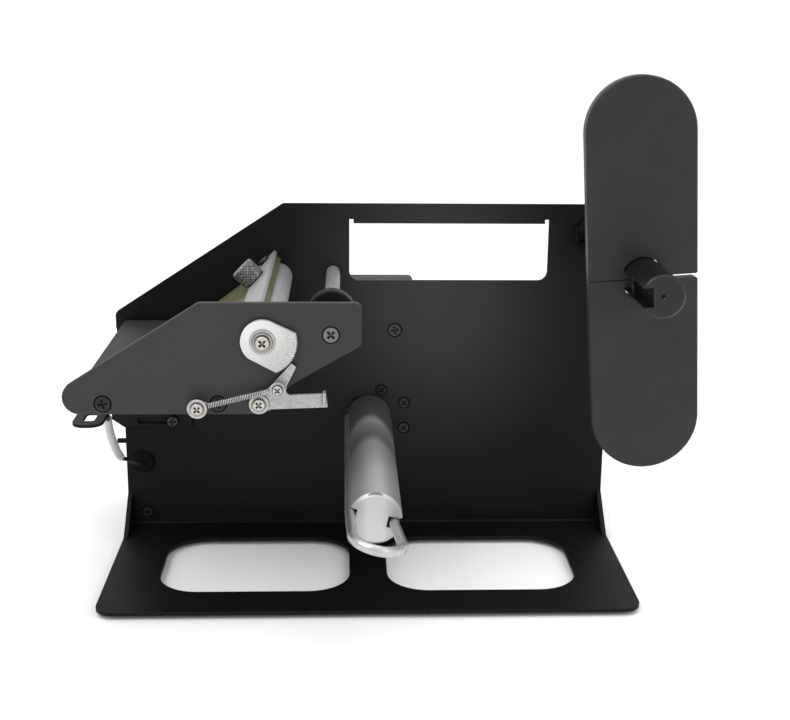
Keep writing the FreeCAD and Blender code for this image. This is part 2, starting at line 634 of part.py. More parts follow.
def front_plate():
    low, top = PAWL_PIVOT_UP - FRONT_LOW_MARGIN, BAR_UP + FRONT_TOP_MARGIN
    outline = ((-HALF_WIDTH - FRONT_NOSE_OVERHANG, low, FRONT_NOSE_RADIUS),
               (FRONT_FOOT_X, low, FRONT_RADIUS),
               (FRONT_MIDDLE_X, BAR_UP - FRONT_MIDDLE_DROP, FRONT_WIDE_RADIUS),
               (FRONT_RIGHT_X, BAR_UP - FRONT_RIGHT_DROP, FRONT_RADIUS),
               (FRONT_RIGHT_X, top, FRONT_RADIUS), (FRONT_SLOPE_X, top, FRONT_SLOPE_RADIUS))
    plate = front_prism(outline, FRONT_FACE, FRONT_INNER)
    face_y = at(0, FRONT_FACE, 0).y
    rim = [edge for edge in plate.Edges
           if all(abs(vertex.Point.y - face_y) < SCREW_FIT for vertex in edge.Vertexes)]
    plate = plate.makeChamfer(FRONT_EDGE, rim)
    cuts = [countersunk_hole(at(x, FRONT_FACE, height), FRONT, M4_HEAD, M4_SHANK,
                             FRONT_THICKNESS + OVERRUN) for x, height in plate_screw_places()]
    near, far = FRONT_FACE + OVERRUN, FRONT_INNER - OVERRUN
    cuts.append(rod(BAR_X, BAR_UP, BAR_JOURNAL + BUSH_WALL, near, far))
    cuts.append(rod(PAWL_PIVOT_X, PAWL_PIVOT_UP, PIVOT_THREAD + SCREW_FIT, near, far))
    cuts.append(rod(ANCHOR_X, ANCHOR_UP, PIVOT_THREAD + SCREW_FIT, near, far))
    return without(plate, cuts)


def peel_table():
    low = TABLE_TOP - TABLE_THICKNESS
    profile = ((TABLE_LEFT_X, TABLE_TOP, 0), (TABLE_LEFT_X, TABLE_TOP - TABLE_LIP, 0),
               (TABLE_LEFT_X + TABLE_BEVEL, low, 0), (TABLE_RIGHT_X, low, 0),
               (TABLE_RIGHT_X, TABLE_TOP, 0))
    table = front_prism(profile, FRONT_INNER, 0)
    (left, height), (right, _) = plate_screw_places()[:2]
    reach = M4_SHANK + TABLE_RIB / 2
    pocket = block(left + reach, right - reach,
                   FRONT_INNER - TABLE_RIM, TABLE_RIM, low - OVERRUN, TABLE_TOP - TABLE_SKIN)
    table = table.cut(pocket)
    depth = M4_LENGTH + OVERRUN
    for x in (left, right):
        table = without(table, [rod(x, height, M4_SHANK + SCREW_FIT, FRONT_INNER, FRONT_INNER - depth),
                                rod(x, height, M4_SHANK + SCREW_FIT, depth, 0)])
    return table


def plate_screws(places, turn):
    """Countersunk screws at the same places in the front plate and in the back plate."""
    screws = []
    for x, height in places:
        screws.append(countersunk_screw(at(x, FRONT_FACE, height), FRONT, M4_HEAD, M4_SHANK,
                                        FRONT_THICKNESS + M4_LENGTH, turn))
        screws.append(countersunk_screw(at(x, -SHEET, height), BACK, M4_HEAD, M4_SHANK,
                                        SHEET + M4_LENGTH, turn))
    return Part.makeCompound(screws)


def guide_rod():
    bar = rod(ROD_X, ROD_UP, ROD_RADIUS, FRONT_INNER, 0)
    depth = M4_LENGTH + OVERRUN
    return without(bar, [rod(ROD_X, ROD_UP, M4_SHANK + SCREW_FIT, FRONT_INNER, FRONT_INNER - depth),
                         rod(ROD_X, ROD_UP, M4_SHANK + SCREW_FIT, depth, 0)])


def guide_collar():
    ring = rod(ROD_X, ROD_UP, COLLAR_RADIUS, COLLAR_FACE, COLLAR_FACE - COLLAR_WIDTH)
    ring = ring.makeChamfer(COLLAR_CHAMFER, [edge for edge in ring.Edges if edge.Closed])
    middle = COLLAR_FACE - COLLAR_WIDTH / 2
    bore = rod(ROD_X, ROD_UP, ROD_RADIUS + RUNNING_FIT, COLLAR_FACE + OVERRUN,
               COLLAR_FACE - COLLAR_WIDTH - OVERRUN)
    return without(ring, [bore, along(at(ROD_X, middle, ROD_UP), X_AXIS,
                                      GRUB_RADIUS + SCREW_FIT, COLLAR_RADIUS + OVERRUN)])


def collar_screw():
    middle = COLLAR_FACE - COLLAR_WIDTH / 2
    end = ROD_RADIUS + GAP + GRUB_LENGTH
    return grub_screw(at(ROD_X + end, middle, ROD_UP), X_AXIS, GRUB_RADIUS, GRUB_LENGTH)


# Brake bar with blade, clamp and cam

def bar_point(n, t, forward):
    """A point of the brake bar from its distance out of the flat and along the flat."""
    out, up = polar(BAR_TURN), polar(BAR_TURN - 90)
    return at(BAR_X, forward, BAR_UP) + out * n + up * t


def bar_prism(points, near, far):
    """Extrudes an outline of (n, t) points of the brake bar."""
    corners = [bar_point(n, t, near) for n, t in points]
    face = Part.Face(Part.makePolygon(corners + corners[:1]))
    return face.extrude(BACK * (near - far))


def brake_bar():
    near, far = FRONT_INNER - BAR_END_GAP, BAR_END_GAP
    side = BAR_RADIUS + OVERRUN
    body = rod(BAR_X, BAR_UP, BAR_RADIUS, near, far)
    body = body.cut(bar_prism(((BAR_FLAT, -side), (BAR_FLAT, side), (side, side), (side, -side)),
                              near + OVERRUN, far - OVERRUN))
    journals = rod(BAR_X, BAR_UP, BAR_JOURNAL, FRONT_FACE + CAM_BACK_GAP,
                   -SHEET - BUSH_FLANGE - GAP)
    spigot = rod(BAR_X, BAR_UP, CAM_SPIGOT, FRONT_FACE + CAM_BACK_GAP + CAM_THICKNESS,
                 FRONT_FACE + CAM_BACK_GAP)
    flat = bar_prism(((CAM_SPIGOT_FLAT, -CAM_SPIGOT), (CAM_SPIGOT_FLAT, CAM_SPIGOT),
                      (CAM_SPIGOT + OVERRUN, CAM_SPIGOT), (CAM_SPIGOT + OVERRUN, -CAM_SPIGOT)),
                     FRONT_FACE + CAM_BACK_GAP + CAM_THICKNESS + OVERRUN, FRONT_FACE + CAM_BACK_GAP)
    bar = joined([body, journals, spigot.cut(flat)])
    front = FRONT_FACE + CAM_BACK_GAP + CAM_THICKNESS
    cuts = [rod(BAR_X, BAR_UP, CAM_SCREW_SHANK + SCREW_FIT, front + OVERRUN, front - CAM_SCREW_LENGTH),
            rod(BAR_X, BAR_UP, CAM_SCREW_SHANK + SCREW_FIT, CAM_SCREW_LENGTH, -SHEET - OVERRUN)]
    depth = CLAMP_TOP_N - THUMB_SHANK_LENGTH - OVERRUN
    for forward, t, radius in bar_screw_places():
        cuts.append(along(bar_point(depth, t, forward), polar(BAR_TURN), radius + SCREW_FIT,
                          CLAMP_TOP_N))
    return without(bar, cuts)


def bar_screw_places():
    """The clamp screws and the thumb screw: forward, place along the flat and radius."""
    return ((CLAMP_SCREW_INSET, CLAMP_SCREW_T, M3_SHANK),
            (FRONT_INNER - CLAMP_SCREW_INSET, CLAMP_SCREW_T, M3_SHANK),
            (THUMB_FORWARD, THUMB_T, THUMB_SHANK))


def bar_holes(shape):
    """Cuts the clamp screws' and the thumb screw's holes through a piece on the bar."""
    for forward, t, radius in bar_screw_places():
        shape = shape.cut(along(bar_point(0, t, forward), polar(BAR_TURN), radius + SCREW_FIT,
                                CLAMP_TOP_N + OVERRUN))
    return shape


def brake_blade():
    low_t, top_t = BLADE_CLAMPED_LOW_T, BLADE_CLAMPED_TOP_T
    near, far = FRONT_INNER - BLADE_END_GAP, BLADE_END_GAP
    inner, tip = bar_point(BAR_FLAT, low_t, near), at(BAR_X - BLADE_TIP_OFFSET, near, TABLE_TOP + GAP)
    way = (tip - inner).normalize()
    corners = [bar_point(BAR_FLAT, top_t, near), bar_point(BLADE_TOP_N, top_t, near),
               bar_point(BLADE_TOP_N, low_t, near),
               tip + V(way.z, 0, -way.x) * BLADE_THICKNESS, tip, inner]
    face = Part.Face(Part.makePolygon(corners + corners[:1]))
    return bar_holes(face.extrude(BACK * (near - far)))


def clamp_plate():
    low_t = BLADE_CLAMPED_LOW_T + SCREW_FIT
    points = ((BLADE_TOP_N, low_t), (BLADE_TOP_N, CLAMP_TOP_T), (CLAMP_TOP_N, CLAMP_TOP_T),
              (CLAMP_TOP_N, low_t))
    return bar_holes(bar_prism(points, FRONT_INNER - BLADE_END_GAP, BLADE_END_GAP))


def clamp_screws():
    screws = []
    for forward, t, radius in bar_screw_places()[:2]:
        screws.append(pan_screw(bar_point(CLAMP_TOP_N, t, forward), polar(BAR_TURN),
                                CLAMP_SCREW_HEAD, PAN_HEIGHT, radius, THUMB_SHANK_LENGTH))
    return Part.makeCompound(screws)


def thumb_screw():
    head = Part.makeCylinder(THUMB_RADIUS, THUMB_HEIGHT)
    head = head.makeChamfer(THUMB_CHAMFER, [edge for edge in head.Edges if edge.Closed])
    shank = Part.makeCylinder(THUMB_SHANK, THUMB_SHANK_LENGTH, V(0, 0, -THUMB_SHANK_LENGTH))
    return placed(head.fuse(shank).removeSplitter(),
                  bar_point(CLAMP_TOP_N + SCREW_FIT, THUMB_T, THUMB_FORWARD), polar(BAR_TURN))


def bar_bushes():
    """Flanged bushes that carry the brake bar in both plates."""
    wall = BAR_JOURNAL + BUSH_WALL
    pieces = []
    for inner, outer, face in ((FRONT_INNER, FRONT_FACE, FRONT_INNER - BUSH_FLANGE),
                               (-SHEET, 0, -SHEET - BUSH_FLANGE)):
        sleeve = rod(BAR_X, BAR_UP, wall, outer, inner)
        flange = rod(BAR_X, BAR_UP, BUSH_FLANGE_RADIUS, inner, face)
        bore = rod(BAR_X, BAR_UP, BAR_JOURNAL + RUNNING_FIT, outer + OVERRUN, face - OVERRUN)
        pieces.append(joined([sleeve, flange]).cut(bore))
    return Part.makeCompound(pieces)


def bar_end_screw():
    back = -SHEET - BUSH_FLANGE - GAP
    washer = rod(BAR_X, BAR_UP, END_WASHER_RADIUS, back, back - END_WASHER)
    screw = pan_screw(at(BAR_X, back - END_WASHER, BAR_UP), BACK, M3_HEAD, PAN_HEIGHT,
                      CAM_SCREW_SHANK, CAM_SCREW_LENGTH)
    return joined([washer, screw])


def ratchet_cam():
    front = FRONT_FACE + CAM_BACK_GAP + CAM_THICKNESS
    centre = at(BAR_X, front, BAR_UP)
    step = (CAM_SECTOR_TO - CAM_SECTOR_FROM) / CAM_TEETH
    teeth = []
    for i in range(CAM_TEETH):
        start = CAM_SECTOR_FROM + i * step
        teeth.append(centre + polar(start) * CAM_TOOTH_RADIUS)
        teeth.append(centre + polar(start + step / 4) * (CAM_TOOTH_RADIUS - CAM_TOOTH_DEPTH))
    teeth.append(centre + polar(CAM_SECTOR_TO) * CAM_TOOTH_RADIUS)
    upper = centre + polar(CAM_UPPER_TANGENT) * CAM_ROUND_RADIUS
    lower = centre + polar(CAM_LOWER_TANGENT) * CAM_ROUND_RADIUS
    middle = centre + polar((CAM_UPPER_TANGENT + CAM_LOWER_TANGENT) / 2 + 180) * CAM_ROUND_RADIUS
    path = [lower] + teeth + [upper]
    edges = [Part.LineSegment(a, b).toShape() for a, b in zip(path, path[1:])]
    edges.append(Part.Arc(upper, middle, lower).toShape())
    cam = Part.Face(Part.Wire(edges)).extrude(BACK * CAM_THICKNESS)
    bore = rod(BAR_X, BAR_UP, CAM_SPIGOT + SCREW_FIT, front + OVERRUN, front - CAM_THICKNESS - OVERRUN)
    side = CAM_SPIGOT + OVERRUN
    flat = CAM_SPIGOT_FLAT + SCREW_FIT
    key = bar_prism(((flat, -side), (flat, side), (side, side), (side, -side)),
                    front + OVERRUN, front - CAM_THICKNESS - OVERRUN)
    return cam.cut(bore.cut(key))


def cam_washer():
    back = FRONT_FACE + CAM_BACK_GAP + CAM_THICKNESS
    low = rod(BAR_X, BAR_UP, CAM_WASHER_RADIUS, back + CAM_WASHER / 2, back)
    high = rod(BAR_X, BAR_UP, CAM_WASHER_STEP, back + CAM_WASHER, back)
    bore = rod(BAR_X, BAR_UP, CAM_SCREW_SHANK + SCREW_FIT, back + OVERRUN, back - OVERRUN)
    return joined([low, high]).cut(bore)


def cam_screw():
    seat = FRONT_FACE + CAM_BACK_GAP + CAM_THICKNESS + CAM_WASHER
    return pan_screw(at(BAR_X, seat, BAR_UP), FRONT, CAM_SCREW_HEAD, PAN_HEIGHT, CAM_SCREW_SHANK,
                     CAM_SCREW_LENGTH, DRIVE_TURN)


# Pawl and spring

def pawl_back():
    return FRONT_FACE + PAWL_LIFT


def pawl_front():
    return pawl_back() + PAWL_THICKNESS


def pawl_points():
    """The pawl's corners: x, height and corner radius."""
    return [(PAWL_PIVOT_X + a * PAWL_REACH, PAWL_PIVOT_UP + b * PAWL_RISE, r * PAWL_ROUNDING)
            for a, b, r in PAWL_SHARES]


def pawl_lever():
    points = pawl_points()
    plate = front_prism(points, pawl_front(), pawl_back())
    (_, low, _), (tail_x, high, _) = points[3:5]
    left = tail_x - PAWL_LIP_THICKNESS
    lip = block(left, tail_x, pawl_front() + PAWL_LIP, pawl_back(), low + PAWL_LIP_RISE,
                high + PAWL_LIP_RISE)
    bore = rod(PAWL_PIVOT_X, PAWL_PIVOT_UP, PAWL_BORE + RUNNING_FIT, pawl_front() + OVERRUN,
               pawl_back() - OVERRUN)
    hook = rod(HOOK_X, HOOK_UP, NECK_RADIUS, pawl_front() + OVERRUN, pawl_back() - OVERRUN)
    return without(joined([plate, lip]), [bore, hook])


def pivot_washer():
    ring = rod(PAWL_PIVOT_X, PAWL_PIVOT_UP, WIDE_HEAD, FRONT_FACE + PAWL_LIFT - SCREW_FIT, FRONT_FACE)
    return ring.cut(rod(PAWL_PIVOT_X, PAWL_PIVOT_UP, PAWL_BORE, FRONT_FACE + PAWL_LIFT + OVERRUN,
                        FRONT_FACE - OVERRUN))


def pawl_pivot_screw():
    seat = pawl_front() + PAWL_PLAY
    shoulder = rod(PAWL_PIVOT_X, PAWL_PIVOT_UP, PAWL_BORE, seat, FRONT_FACE)
    return joined([shoulder, rimmed_screw(PAWL_PIVOT_X, PAWL_PIVOT_UP, seat, WIDE_HEAD, WIDE_DOME,
                                          PIVOT_THREAD, seat - FRONT_INNER)])


def hook_seat():
    """Where the heads of the two spring screws start."""
    return FRONT_FACE + SPRING_AXIS + SPRING_WIRE_RADIUS + SPRING_HEAD_GAP


def pawl_hook_screw():
    return rimmed_screw(HOOK_X, HOOK_UP, hook_seat(), HOOK_HEAD, HOOK_DOME, NECK_RADIUS,
                        hook_seat() - pawl_back())


def spring_anchor_screw():
    seat = hook_seat()
    shoulder = rod(ANCHOR_X, ANCHOR_UP, PAWL_BORE,
                   seat - 2 * (SPRING_HEAD_GAP + SPRING_WIRE_RADIUS), FRONT_FACE)
    head = rimmed_screw(ANCHOR_X, ANCHOR_UP, seat, WIDE_HEAD, WIDE_DOME, NECK_RADIUS,
                        seat - FRONT_FACE)
    thread = rod(ANCHOR_X, ANCHOR_UP, PIVOT_THREAD, FRONT_FACE, FRONT_INNER)
    return joined([shoulder, head, thread])


def biarc(start, start_way, end, end_way):
    """Two tangent arcs between two points with given directions."""
    span, ways = end - start, start_way + end_way
    a, b = 4 - ways.dot(ways), span.dot(ways)
    reach = (-b + math.sqrt(b * b + a * span.dot(span))) / a
    first, second = start + start_way * reach, end - end_way * reach
    knot = (first + second) * 0.5
    edges = []
    for p, corner, q in ((start, first, knot), (knot, second, end)):
        chord = (p + q) * 0.5
        rise = corner - chord
        half = math.acos(min(1.0, (chord - p).Length / (corner - p).Length))
        sag = (chord - p).Length * math.tan(half / 2)
        edges.append(Part.Arc(p, chord + rise.normalize() * sag, q).toShape())
    return edges


def loop_stations(middle, axis, across, angles):
    """Points and directions on an end loop, counter-clockwise in the plane of axis and across."""
    stations = []
    for degrees in angles:
        c, s = math.cos(math.radians(degrees)), math.sin(math.radians(degrees))
        stations.append((middle + (axis * c + across * s) * SPRING_LOOP_RADIUS,
                         across * c - axis * s))
    return stations


def spring_stations():
    """Points and directions along the spring's wire: a loop, the coil and a loop."""
    forward = FRONT_FACE + SPRING_AXIS
    first, last = at(ANCHOR_X, forward, ANCHOR_UP), at(HOOK_X, forward, HOOK_UP)
    axis = (last - first).normalize()
    across = V(-axis.z, 0, axis.x)
    first_lead, last_lead = WIDE_HEAD + SPRING_HEAD_GAP, HOOK_HEAD + SPRING_HEAD_GAP
    pitch = ((last - first).Length - first_lead - last_lead) / SPRING_TURNS
    slope = pitch / (2 * math.pi)
    stations = loop_stations(first, axis, across * -1, (0, 90, 180, 270))
    for i in range(2 * SPRING_TURNS + 1):
        angle = math.pi * (i + 1 / 2)
        c, s = math.cos(angle), math.sin(angle)
        centre = first + axis * (first_lead + slope * math.pi * i)
        way = axis * slope + (across * -s + BACK * c) * SPRING_COIL_RADIUS
        stations.append((centre + (across * c + BACK * s) * SPRING_COIL_RADIUS, way.normalize()))
    return stations + loop_stations(last, axis, across, (-90, 0, 90, 180))


def extension_spring():
    stations = spring_stations()
    edges = []
    for (p, p_way), (q, q_way) in zip(stations, stations[1:]):
        edges += biarc(p, p_way, q, q_way)
    start, way = stations[0]
    ring = Part.Wire([Part.Circle(start, way, SPRING_WIRE_RADIUS).toShape()])
    spring = Part.Wire(edges).makePipeShell([ring], True, False)
    report_spring(edges)
    return spring


def report_spring(edges):
    """Prints the least gap between parts of the wire that aren't next to each other."""
    points, places, travelled = [], [], 0
    for edge in edges:
        for point in edge.discretize(7)[:-1]:
            points.append(point)
            places.append(travelled)
            travelled += edge.Length / 6
    least = min((points[i] - points[j]).Length
                for i in range(len(points)) for j in range(i + 1, min(len(points), i + 60))
                if places[j] - places[i] > SPRING_COIL_RADIUS * 3)
    print("spring: least gap to itself", round(least - 2 * SPRING_WIRE_RADIUS, 3))


# Sensor, its bracket and its lead

def rounded_slot(left, right, height, radius, near, far):
    """A cut with round ends along X, between the middles of its two ends."""
    return joined([rod(left, height, radius, near, far), rod(right, height, radius, near, far),
                   block(left, right, near, far, height - radius, height + radius)])


def sensor_bracket():
    """One bent sheet: a foot on the back plate and a finger that reaches forward at its top."""
    top, low = BRACKET_TOP, BRACKET_TOP - BRACKET_THICKNESS
    left, right = -HALF_WIDTH - BRACKET_FOOT_OVERHANG, -HALF_WIDTH + BRACKET_FOOT_MARGIN
    bottom = TABLE_TOP - BRACKET_FOOT_DROP
    back, front = SCREW_FIT, SCREW_FIT + BRACKET_THICKNESS
    foot = front_prism(((left, bottom + BRACKET_CUT_HEIGHT, 0), (left + BRACKET_CUT_WIDTH, bottom, 0),
                        (right, bottom, BRACKET_RADIUS), (right, top, BRACKET_RADIUS),
                        (left, top, BRACKET_RADIUS)), front, back)
    finger = plan_prism(((FINGER_LEFT_X, back, 0), (FINGER_RIGHT_X, back, 0),
                         (FINGER_RIGHT_X, FINGER_REACH, FINGER_RADIUS),
                         (FINGER_LEFT_X, FINGER_REACH, FINGER_RADIUS)), low, top)
    slot_left = FINGER_LEFT_X + FINGER_SLOT_INSET
    slot_right = slot_left + FINGER_SLOT_WIDTH
    corners = ((slot_left, FINGER_SLOT_NEAR), (slot_right, FINGER_SLOT_NEAR),
               (slot_right, FINGER_SLOT_FAR), (slot_left, FINGER_SLOT_FAR))
    cuts = [plan_prism([(x, y, FINGER_SLOT_RADIUS) for x, y in corners], low - OVERRUN, top + OVERRUN),
            rounded_slot(SENSOR_SCREW_X - BRACKET_SLOT_LENGTH, SENSOR_SCREW_X, SENSOR_SCREW_UP,
                         M3_SHANK + GAP, front + OVERRUN, back - OVERRUN)]
    for forward in sensor_screw_places():
        cuts.append(along(at(FINGER_MIDDLE_X, forward, low - OVERRUN), Z_AXIS, M3_SHANK + SCREW_FIT,
                          OVERRUN * 2 + BRACKET_THICKNESS))
    lens = SENSOR_BACK + SENSOR_LENGTH / 2
    cuts.append(along(at(FINGER_MIDDLE_X, lens, low - OVERRUN), Z_AXIS, SENSOR_LENS_RADIUS + SLIDE_FIT,
                      OVERRUN * 2 + BRACKET_THICKNESS))
    return without(joined([finger, foot]), cuts)


def sensor_screw_places():
    middle = SENSOR_BACK + SENSOR_LENGTH / 2
    return (middle - SENSOR_SCREW_PITCH / 2, middle + SENSOR_SCREW_PITCH / 2)


def label_sensor():
    top = BRACKET_TOP - BRACKET_THICKNESS
    body = block(FINGER_MIDDLE_X - SENSOR_WIDTH / 2, FINGER_MIDDLE_X + SENSOR_WIDTH / 2,
                 SENSOR_BACK + SENSOR_LENGTH, SENSOR_BACK, top - SENSOR_HEIGHT, top)
    lens = along(at(FINGER_MIDDLE_X, SENSOR_BACK + SENSOR_LENGTH / 2, top), Z_AXIS,
                 SENSOR_LENS_RADIUS, SENSOR_LENS_RISE)
    body = joined([body, lens])
    for forward in sensor_screw_places():
        body = body.cut(along(at(FINGER_MIDDLE_X, forward, top), V(0, 0, -1), M3_SHANK + SCREW_FIT,
                              M3_LENGTH))
    inside, outside = lead_points()[:2]
    way = (outside - inside).normalize()
    return body.cut(along(inside, way, LEAD_RADIUS + SCREW_FIT, SENSOR_LENGTH))


def sensor_screws():
    return Part.makeCompound([pan_screw(at(FINGER_MIDDLE_X, forward, BRACKET_TOP), Z_AXIS, M3_HEAD,
                                        PAN_HEIGHT, M3_SHANK, M3_LENGTH)
                              for forward in sensor_screw_places()])


def bracket_screw():
    """The fixed screw that clamps the slotted bracket, with its square nut behind the plate."""
    seat = 2 * SCREW_FIT + BRACKET_THICKNESS
    screw = pan_screw(at(SENSOR_SCREW_X, seat, SENSOR_SCREW_UP), FRONT, SENSOR_SCREW_HEAD, PAN_HEIGHT,
                      M3_SHANK, seat + SHEET + PAN_HEIGHT)
    nut = block(SENSOR_SCREW_X - M3_HEAD, SENSOR_SCREW_X + M3_HEAD, -SHEET, -SHEET - PAN_HEIGHT,
                SENSOR_SCREW_UP - M3_HEAD, SENSOR_SCREW_UP + M3_HEAD)
    return joined([screw, nut])


def bent_run(corners):
    """Straight runs joined by tangent arcs, through corners of a point and a bend radius."""
    edges, last = [], corners[0][0]
    for (before, _), (point, radius), (after, _) in zip(corners, corners[1:], corners[2:]):
        back, ahead = (before - point).normalize(), (after - point).normalize()
        half = back.getAngle(ahead) / 2
        reach, middle = radius / math.tan(half), (back + ahead).normalize()
        start, end = point + back * reach, point + ahead * reach
        edges.append(Part.LineSegment(last, start).toShape())
        edges.append(Part.Arc(start, point + middle * (radius / math.sin(half) - radius),
                              end).toShape())
        last = end
    edges.append(Part.LineSegment(last, corners[-1][0]).toShape())
    return edges


def tube_along(edges, radius):
    start = edges[0].valueAt(edges[0].FirstParameter)
    way = edges[0].tangentAt(edges[0].FirstParameter)
    ring = Part.Wire([Part.Circle(start, way, radius).toShape()])
    return Part.Wire(edges).makePipeShell([ring], True, False)


def lead_points():
    return [at(inset - HALF_WIDTH, forward, height) for inset, forward, height in LEAD_ROUTE]


def lead_edges():
    """The lead's runs and bends, each bend as large as its two runs allow."""
    points = lead_points()
    corners = [(points[0], 0)]
    for before, point, after in zip(points, points[1:], points[2:]):
        half = (before - point).getAngle(after - point) / 2
        reach = LEAD_BEND_SHARE * min((before - point).Length, (after - point).Length)
        corners.append((point, reach * math.tan(half)))
    return bent_run(corners + [(points[-1], 0)])


def sensor_lead():
    edges = lead_edges()
    tube = tube_along(edges, LEAD_RADIUS)
    length = sum(edge.Length for edge in edges)
    print("lead: bend radii", [round(edge.Curve.Radius, 1) for edge in edges[1::2]])
    print("lead: volume share", round(tube.Volume / (math.pi * LEAD_RADIUS ** 2 * length), 4))
    return tube


def marker_tube():
    """The loose pale tube over the lead between the sensor and the back plate."""
    edges = lead_edges()
    outer = tube_along(edges[2:2 * MARKER_RUNS + 1], MARKER_RADIUS)
    return outer.cut(tube_along(edges, LEAD_RADIUS + SCREW_FIT))


def grommet():
    pieces = [rod(GROMMET_X, GROMMET_UP, GROMMET_RADIUS, GROMMET_FRONT, 0),
              rod(GROMMET_X, GROMMET_UP, GROMMET_NECK, 0, -SHEET),
              rod(GROMMET_X, GROMMET_UP, GROMMET_REAR_RADIUS, -SHEET, -SHEET - GROMMET_REAR)]
    ring = joined(pieces)
    rim = [edge for edge in ring.Edges if edge.Closed
           and edge.BoundBox.YMax < at(0, GROMMET_FRONT, 0).y + SCREW_FIT
           and edge.BoundBox.XLength > 2 * GROMMET_NECK]
    ring = ring.makeFillet(GROMMET_FRONT / 2, rim)
    return ring.cut(rod(GROMMET_X, GROMMET_UP, LEAD_RADIUS + SCREW_FIT, GROMMET_FRONT + OVERRUN,
                        -SHEET - GROMMET_REAR - OVERRUN))


# Gearmotor, waste spindle and bail

def gearbox():
    back = -SHEET
    body = rod(MOTOR_X, DRIVE_UP, GEARBOX_RADIUS, back, back - GEARBOX_LENGTH)
    boss = rod(DRIVE_X, DRIVE_UP, GEARBOX_BOSS_RADIUS, 0, back)
    cuts = [rod(DRIVE_X, DRIVE_UP, SHAFT_RADIUS + RUNNING_FIT, OVERRUN, back - SHAFT_INSIDE - GAP)]
    for x, height in motor_screw_places():
        cuts.append(rod(x, height, M3_SHANK + SCREW_FIT, back, back - GEARBOX_TAP_DEPTH))
    return without(joined([body, boss]), cuts)


def motor_can():
    back = -SHEET - GEARBOX_LENGTH
    can = rod(MOTOR_X, DRIVE_UP, CAN_RADIUS, back, back - CAN_LENGTH)
    can = can.makeFillet(CAN_CAP / 2, [edge for edge in can.Edges if edge.Closed])
    cap = rod(MOTOR_X, DRIVE_UP, CAN_CAP_RADIUS, back - CAN_LENGTH, back - CAN_LENGTH - CAN_CAP)
    return joined([can, cap])


def motor_screws():
    return Part.makeCompound([countersunk_screw(at(x, 0, height), FRONT, M3_HEAD, M3_SHANK, M3_LENGTH,
                                                DRIVE_TURN) for x, height in motor_screw_places()])


def shaft_shape(radius, flat, near, far):
    """A round shaft with one flat on its top."""
    shaft = rod(DRIVE_X, DRIVE_UP, radius, near, far)
    return shaft.cut(block(DRIVE_X - radius, DRIVE_X + radius, near, far + (near - far) / 3,
                           DRIVE_UP + flat, DRIVE_UP + radius + OVERRUN))


def output_shaft():
    return shaft_shape(SHAFT_RADIUS, SHAFT_FLAT, SHAFT_REACH, -SHEET - SHAFT_INSIDE)


def groove_box(angle, width, floor, radius, near, far, x, height):
    """A box for a lengthwise groove, turned about a spindle's axis."""
    box = block(x + floor, x + radius + OVERRUN, near, far, height - width / 2, height + width / 2)
    box.rotate(at(x, near, height), V(0, -1, 0), angle)
    return box


def waste_spindle():
    bar = rod(DRIVE_X, DRIVE_UP, WASTE_RADIUS, WASTE_REACH, WASTE_REAR_GAP)
    front_y = at(0, WASTE_REACH, 0).y
    rim = [edge for edge in bar.Edges if edge.Closed and edge.BoundBox.YMax < front_y + SCREW_FIT]
    bar = bar.makeChamfer(WASTE_CHAMFER, rim)
    cuts = [groove_box(angle, WASTE_GROOVE_WIDTH, floor, WASTE_RADIUS, WASTE_REACH + OVERRUN,
                       BAIL_LEG_END - BAIL_WIRE, DRIVE_X, DRIVE_UP)
            for angle, floor in ((WASTE_GROOVE_TURN, WASTE_RIGHT_FLOOR),
                                 (WASTE_GROOVE_TURN + 180, WASTE_LEFT_FLOOR))]
    cuts.append(rod(DRIVE_X, DRIVE_UP, SHAFT_RADIUS + SCREW_FIT, SHAFT_REACH + GAP, 0))
    cuts.append(along(at(DRIVE_X, WASTE_GRUB, DRIVE_UP), Z_AXIS, GRUB_RADIUS + SCREW_FIT,
                      WASTE_RADIUS + OVERRUN))
    return without(bar, cuts)


def spindle_grub_screw():
    length = WASTE_RADIUS - SHAFT_FLAT - GAP - OVERRUN / 2
    return grub_screw(at(DRIVE_X, WASTE_GRUB, DRIVE_UP + SHAFT_FLAT + SCREW_FIT + length), Z_AXIS,
                      GRUB_RADIUS, length)


def wire_bail():
    """A round wire bent to a flat U, whose legs lie in the spindle's grooves."""
    across = polar(WASTE_GROOVE_TURN)
    neck, loop = WASTE_REACH + BAIL_NECK, WASTE_REACH + BAIL_LOOP
    bend = BAIL_BEND_SHARE * (BAIL_RIGHT_LOOP + BAIL_LEFT_LOOP)
    places = ((BAIL_RIGHT_LEG, BAIL_LEG_END, 0), (BAIL_RIGHT_LEG, neck, BAIL_NECK_RADIUS),
              (BAIL_RIGHT_LOOP, loop, bend), (-BAIL_LEFT_LOOP, loop, bend),
              (-BAIL_LEFT_LEG, neck, BAIL_NECK_RADIUS), (-BAIL_LEFT_LEG, BAIL_LEG_END, 0))
    return tube_along(bent_run([(at(DRIVE_X, forward, DRIVE_UP) + across * side, radius)
                                for side, forward, radius in places]), BAIL_WIRE)


# Roll spindle

def roll_spindle():
    bar = rod(ROLL_X, ROLL_UP, ROLL_RADIUS, ROLL_REACH, -SHEET - ROLL_BEHIND)
    bar = bar.makeChamfer(ROLL_CHAMFER, [edge for edge in bar.Edges if edge.Closed])
    groove = groove_box(180 - ROLL_TURN, ROLL_GROOVE_WIDTH, ROLL_RADIUS - ROLL_GROOVE_DEPTH,
                        ROLL_RADIUS, ROLL_REACH + OVERRUN, ROLL_GROOVE_STOP, ROLL_X, ROLL_UP)
    dimple = Part.makeCone(ROLL_DIMPLE, 0, ROLL_DIMPLE, at(ROLL_X, ROLL_REACH, ROLL_UP), BACK)
    return without(bar, [groove, dimple])


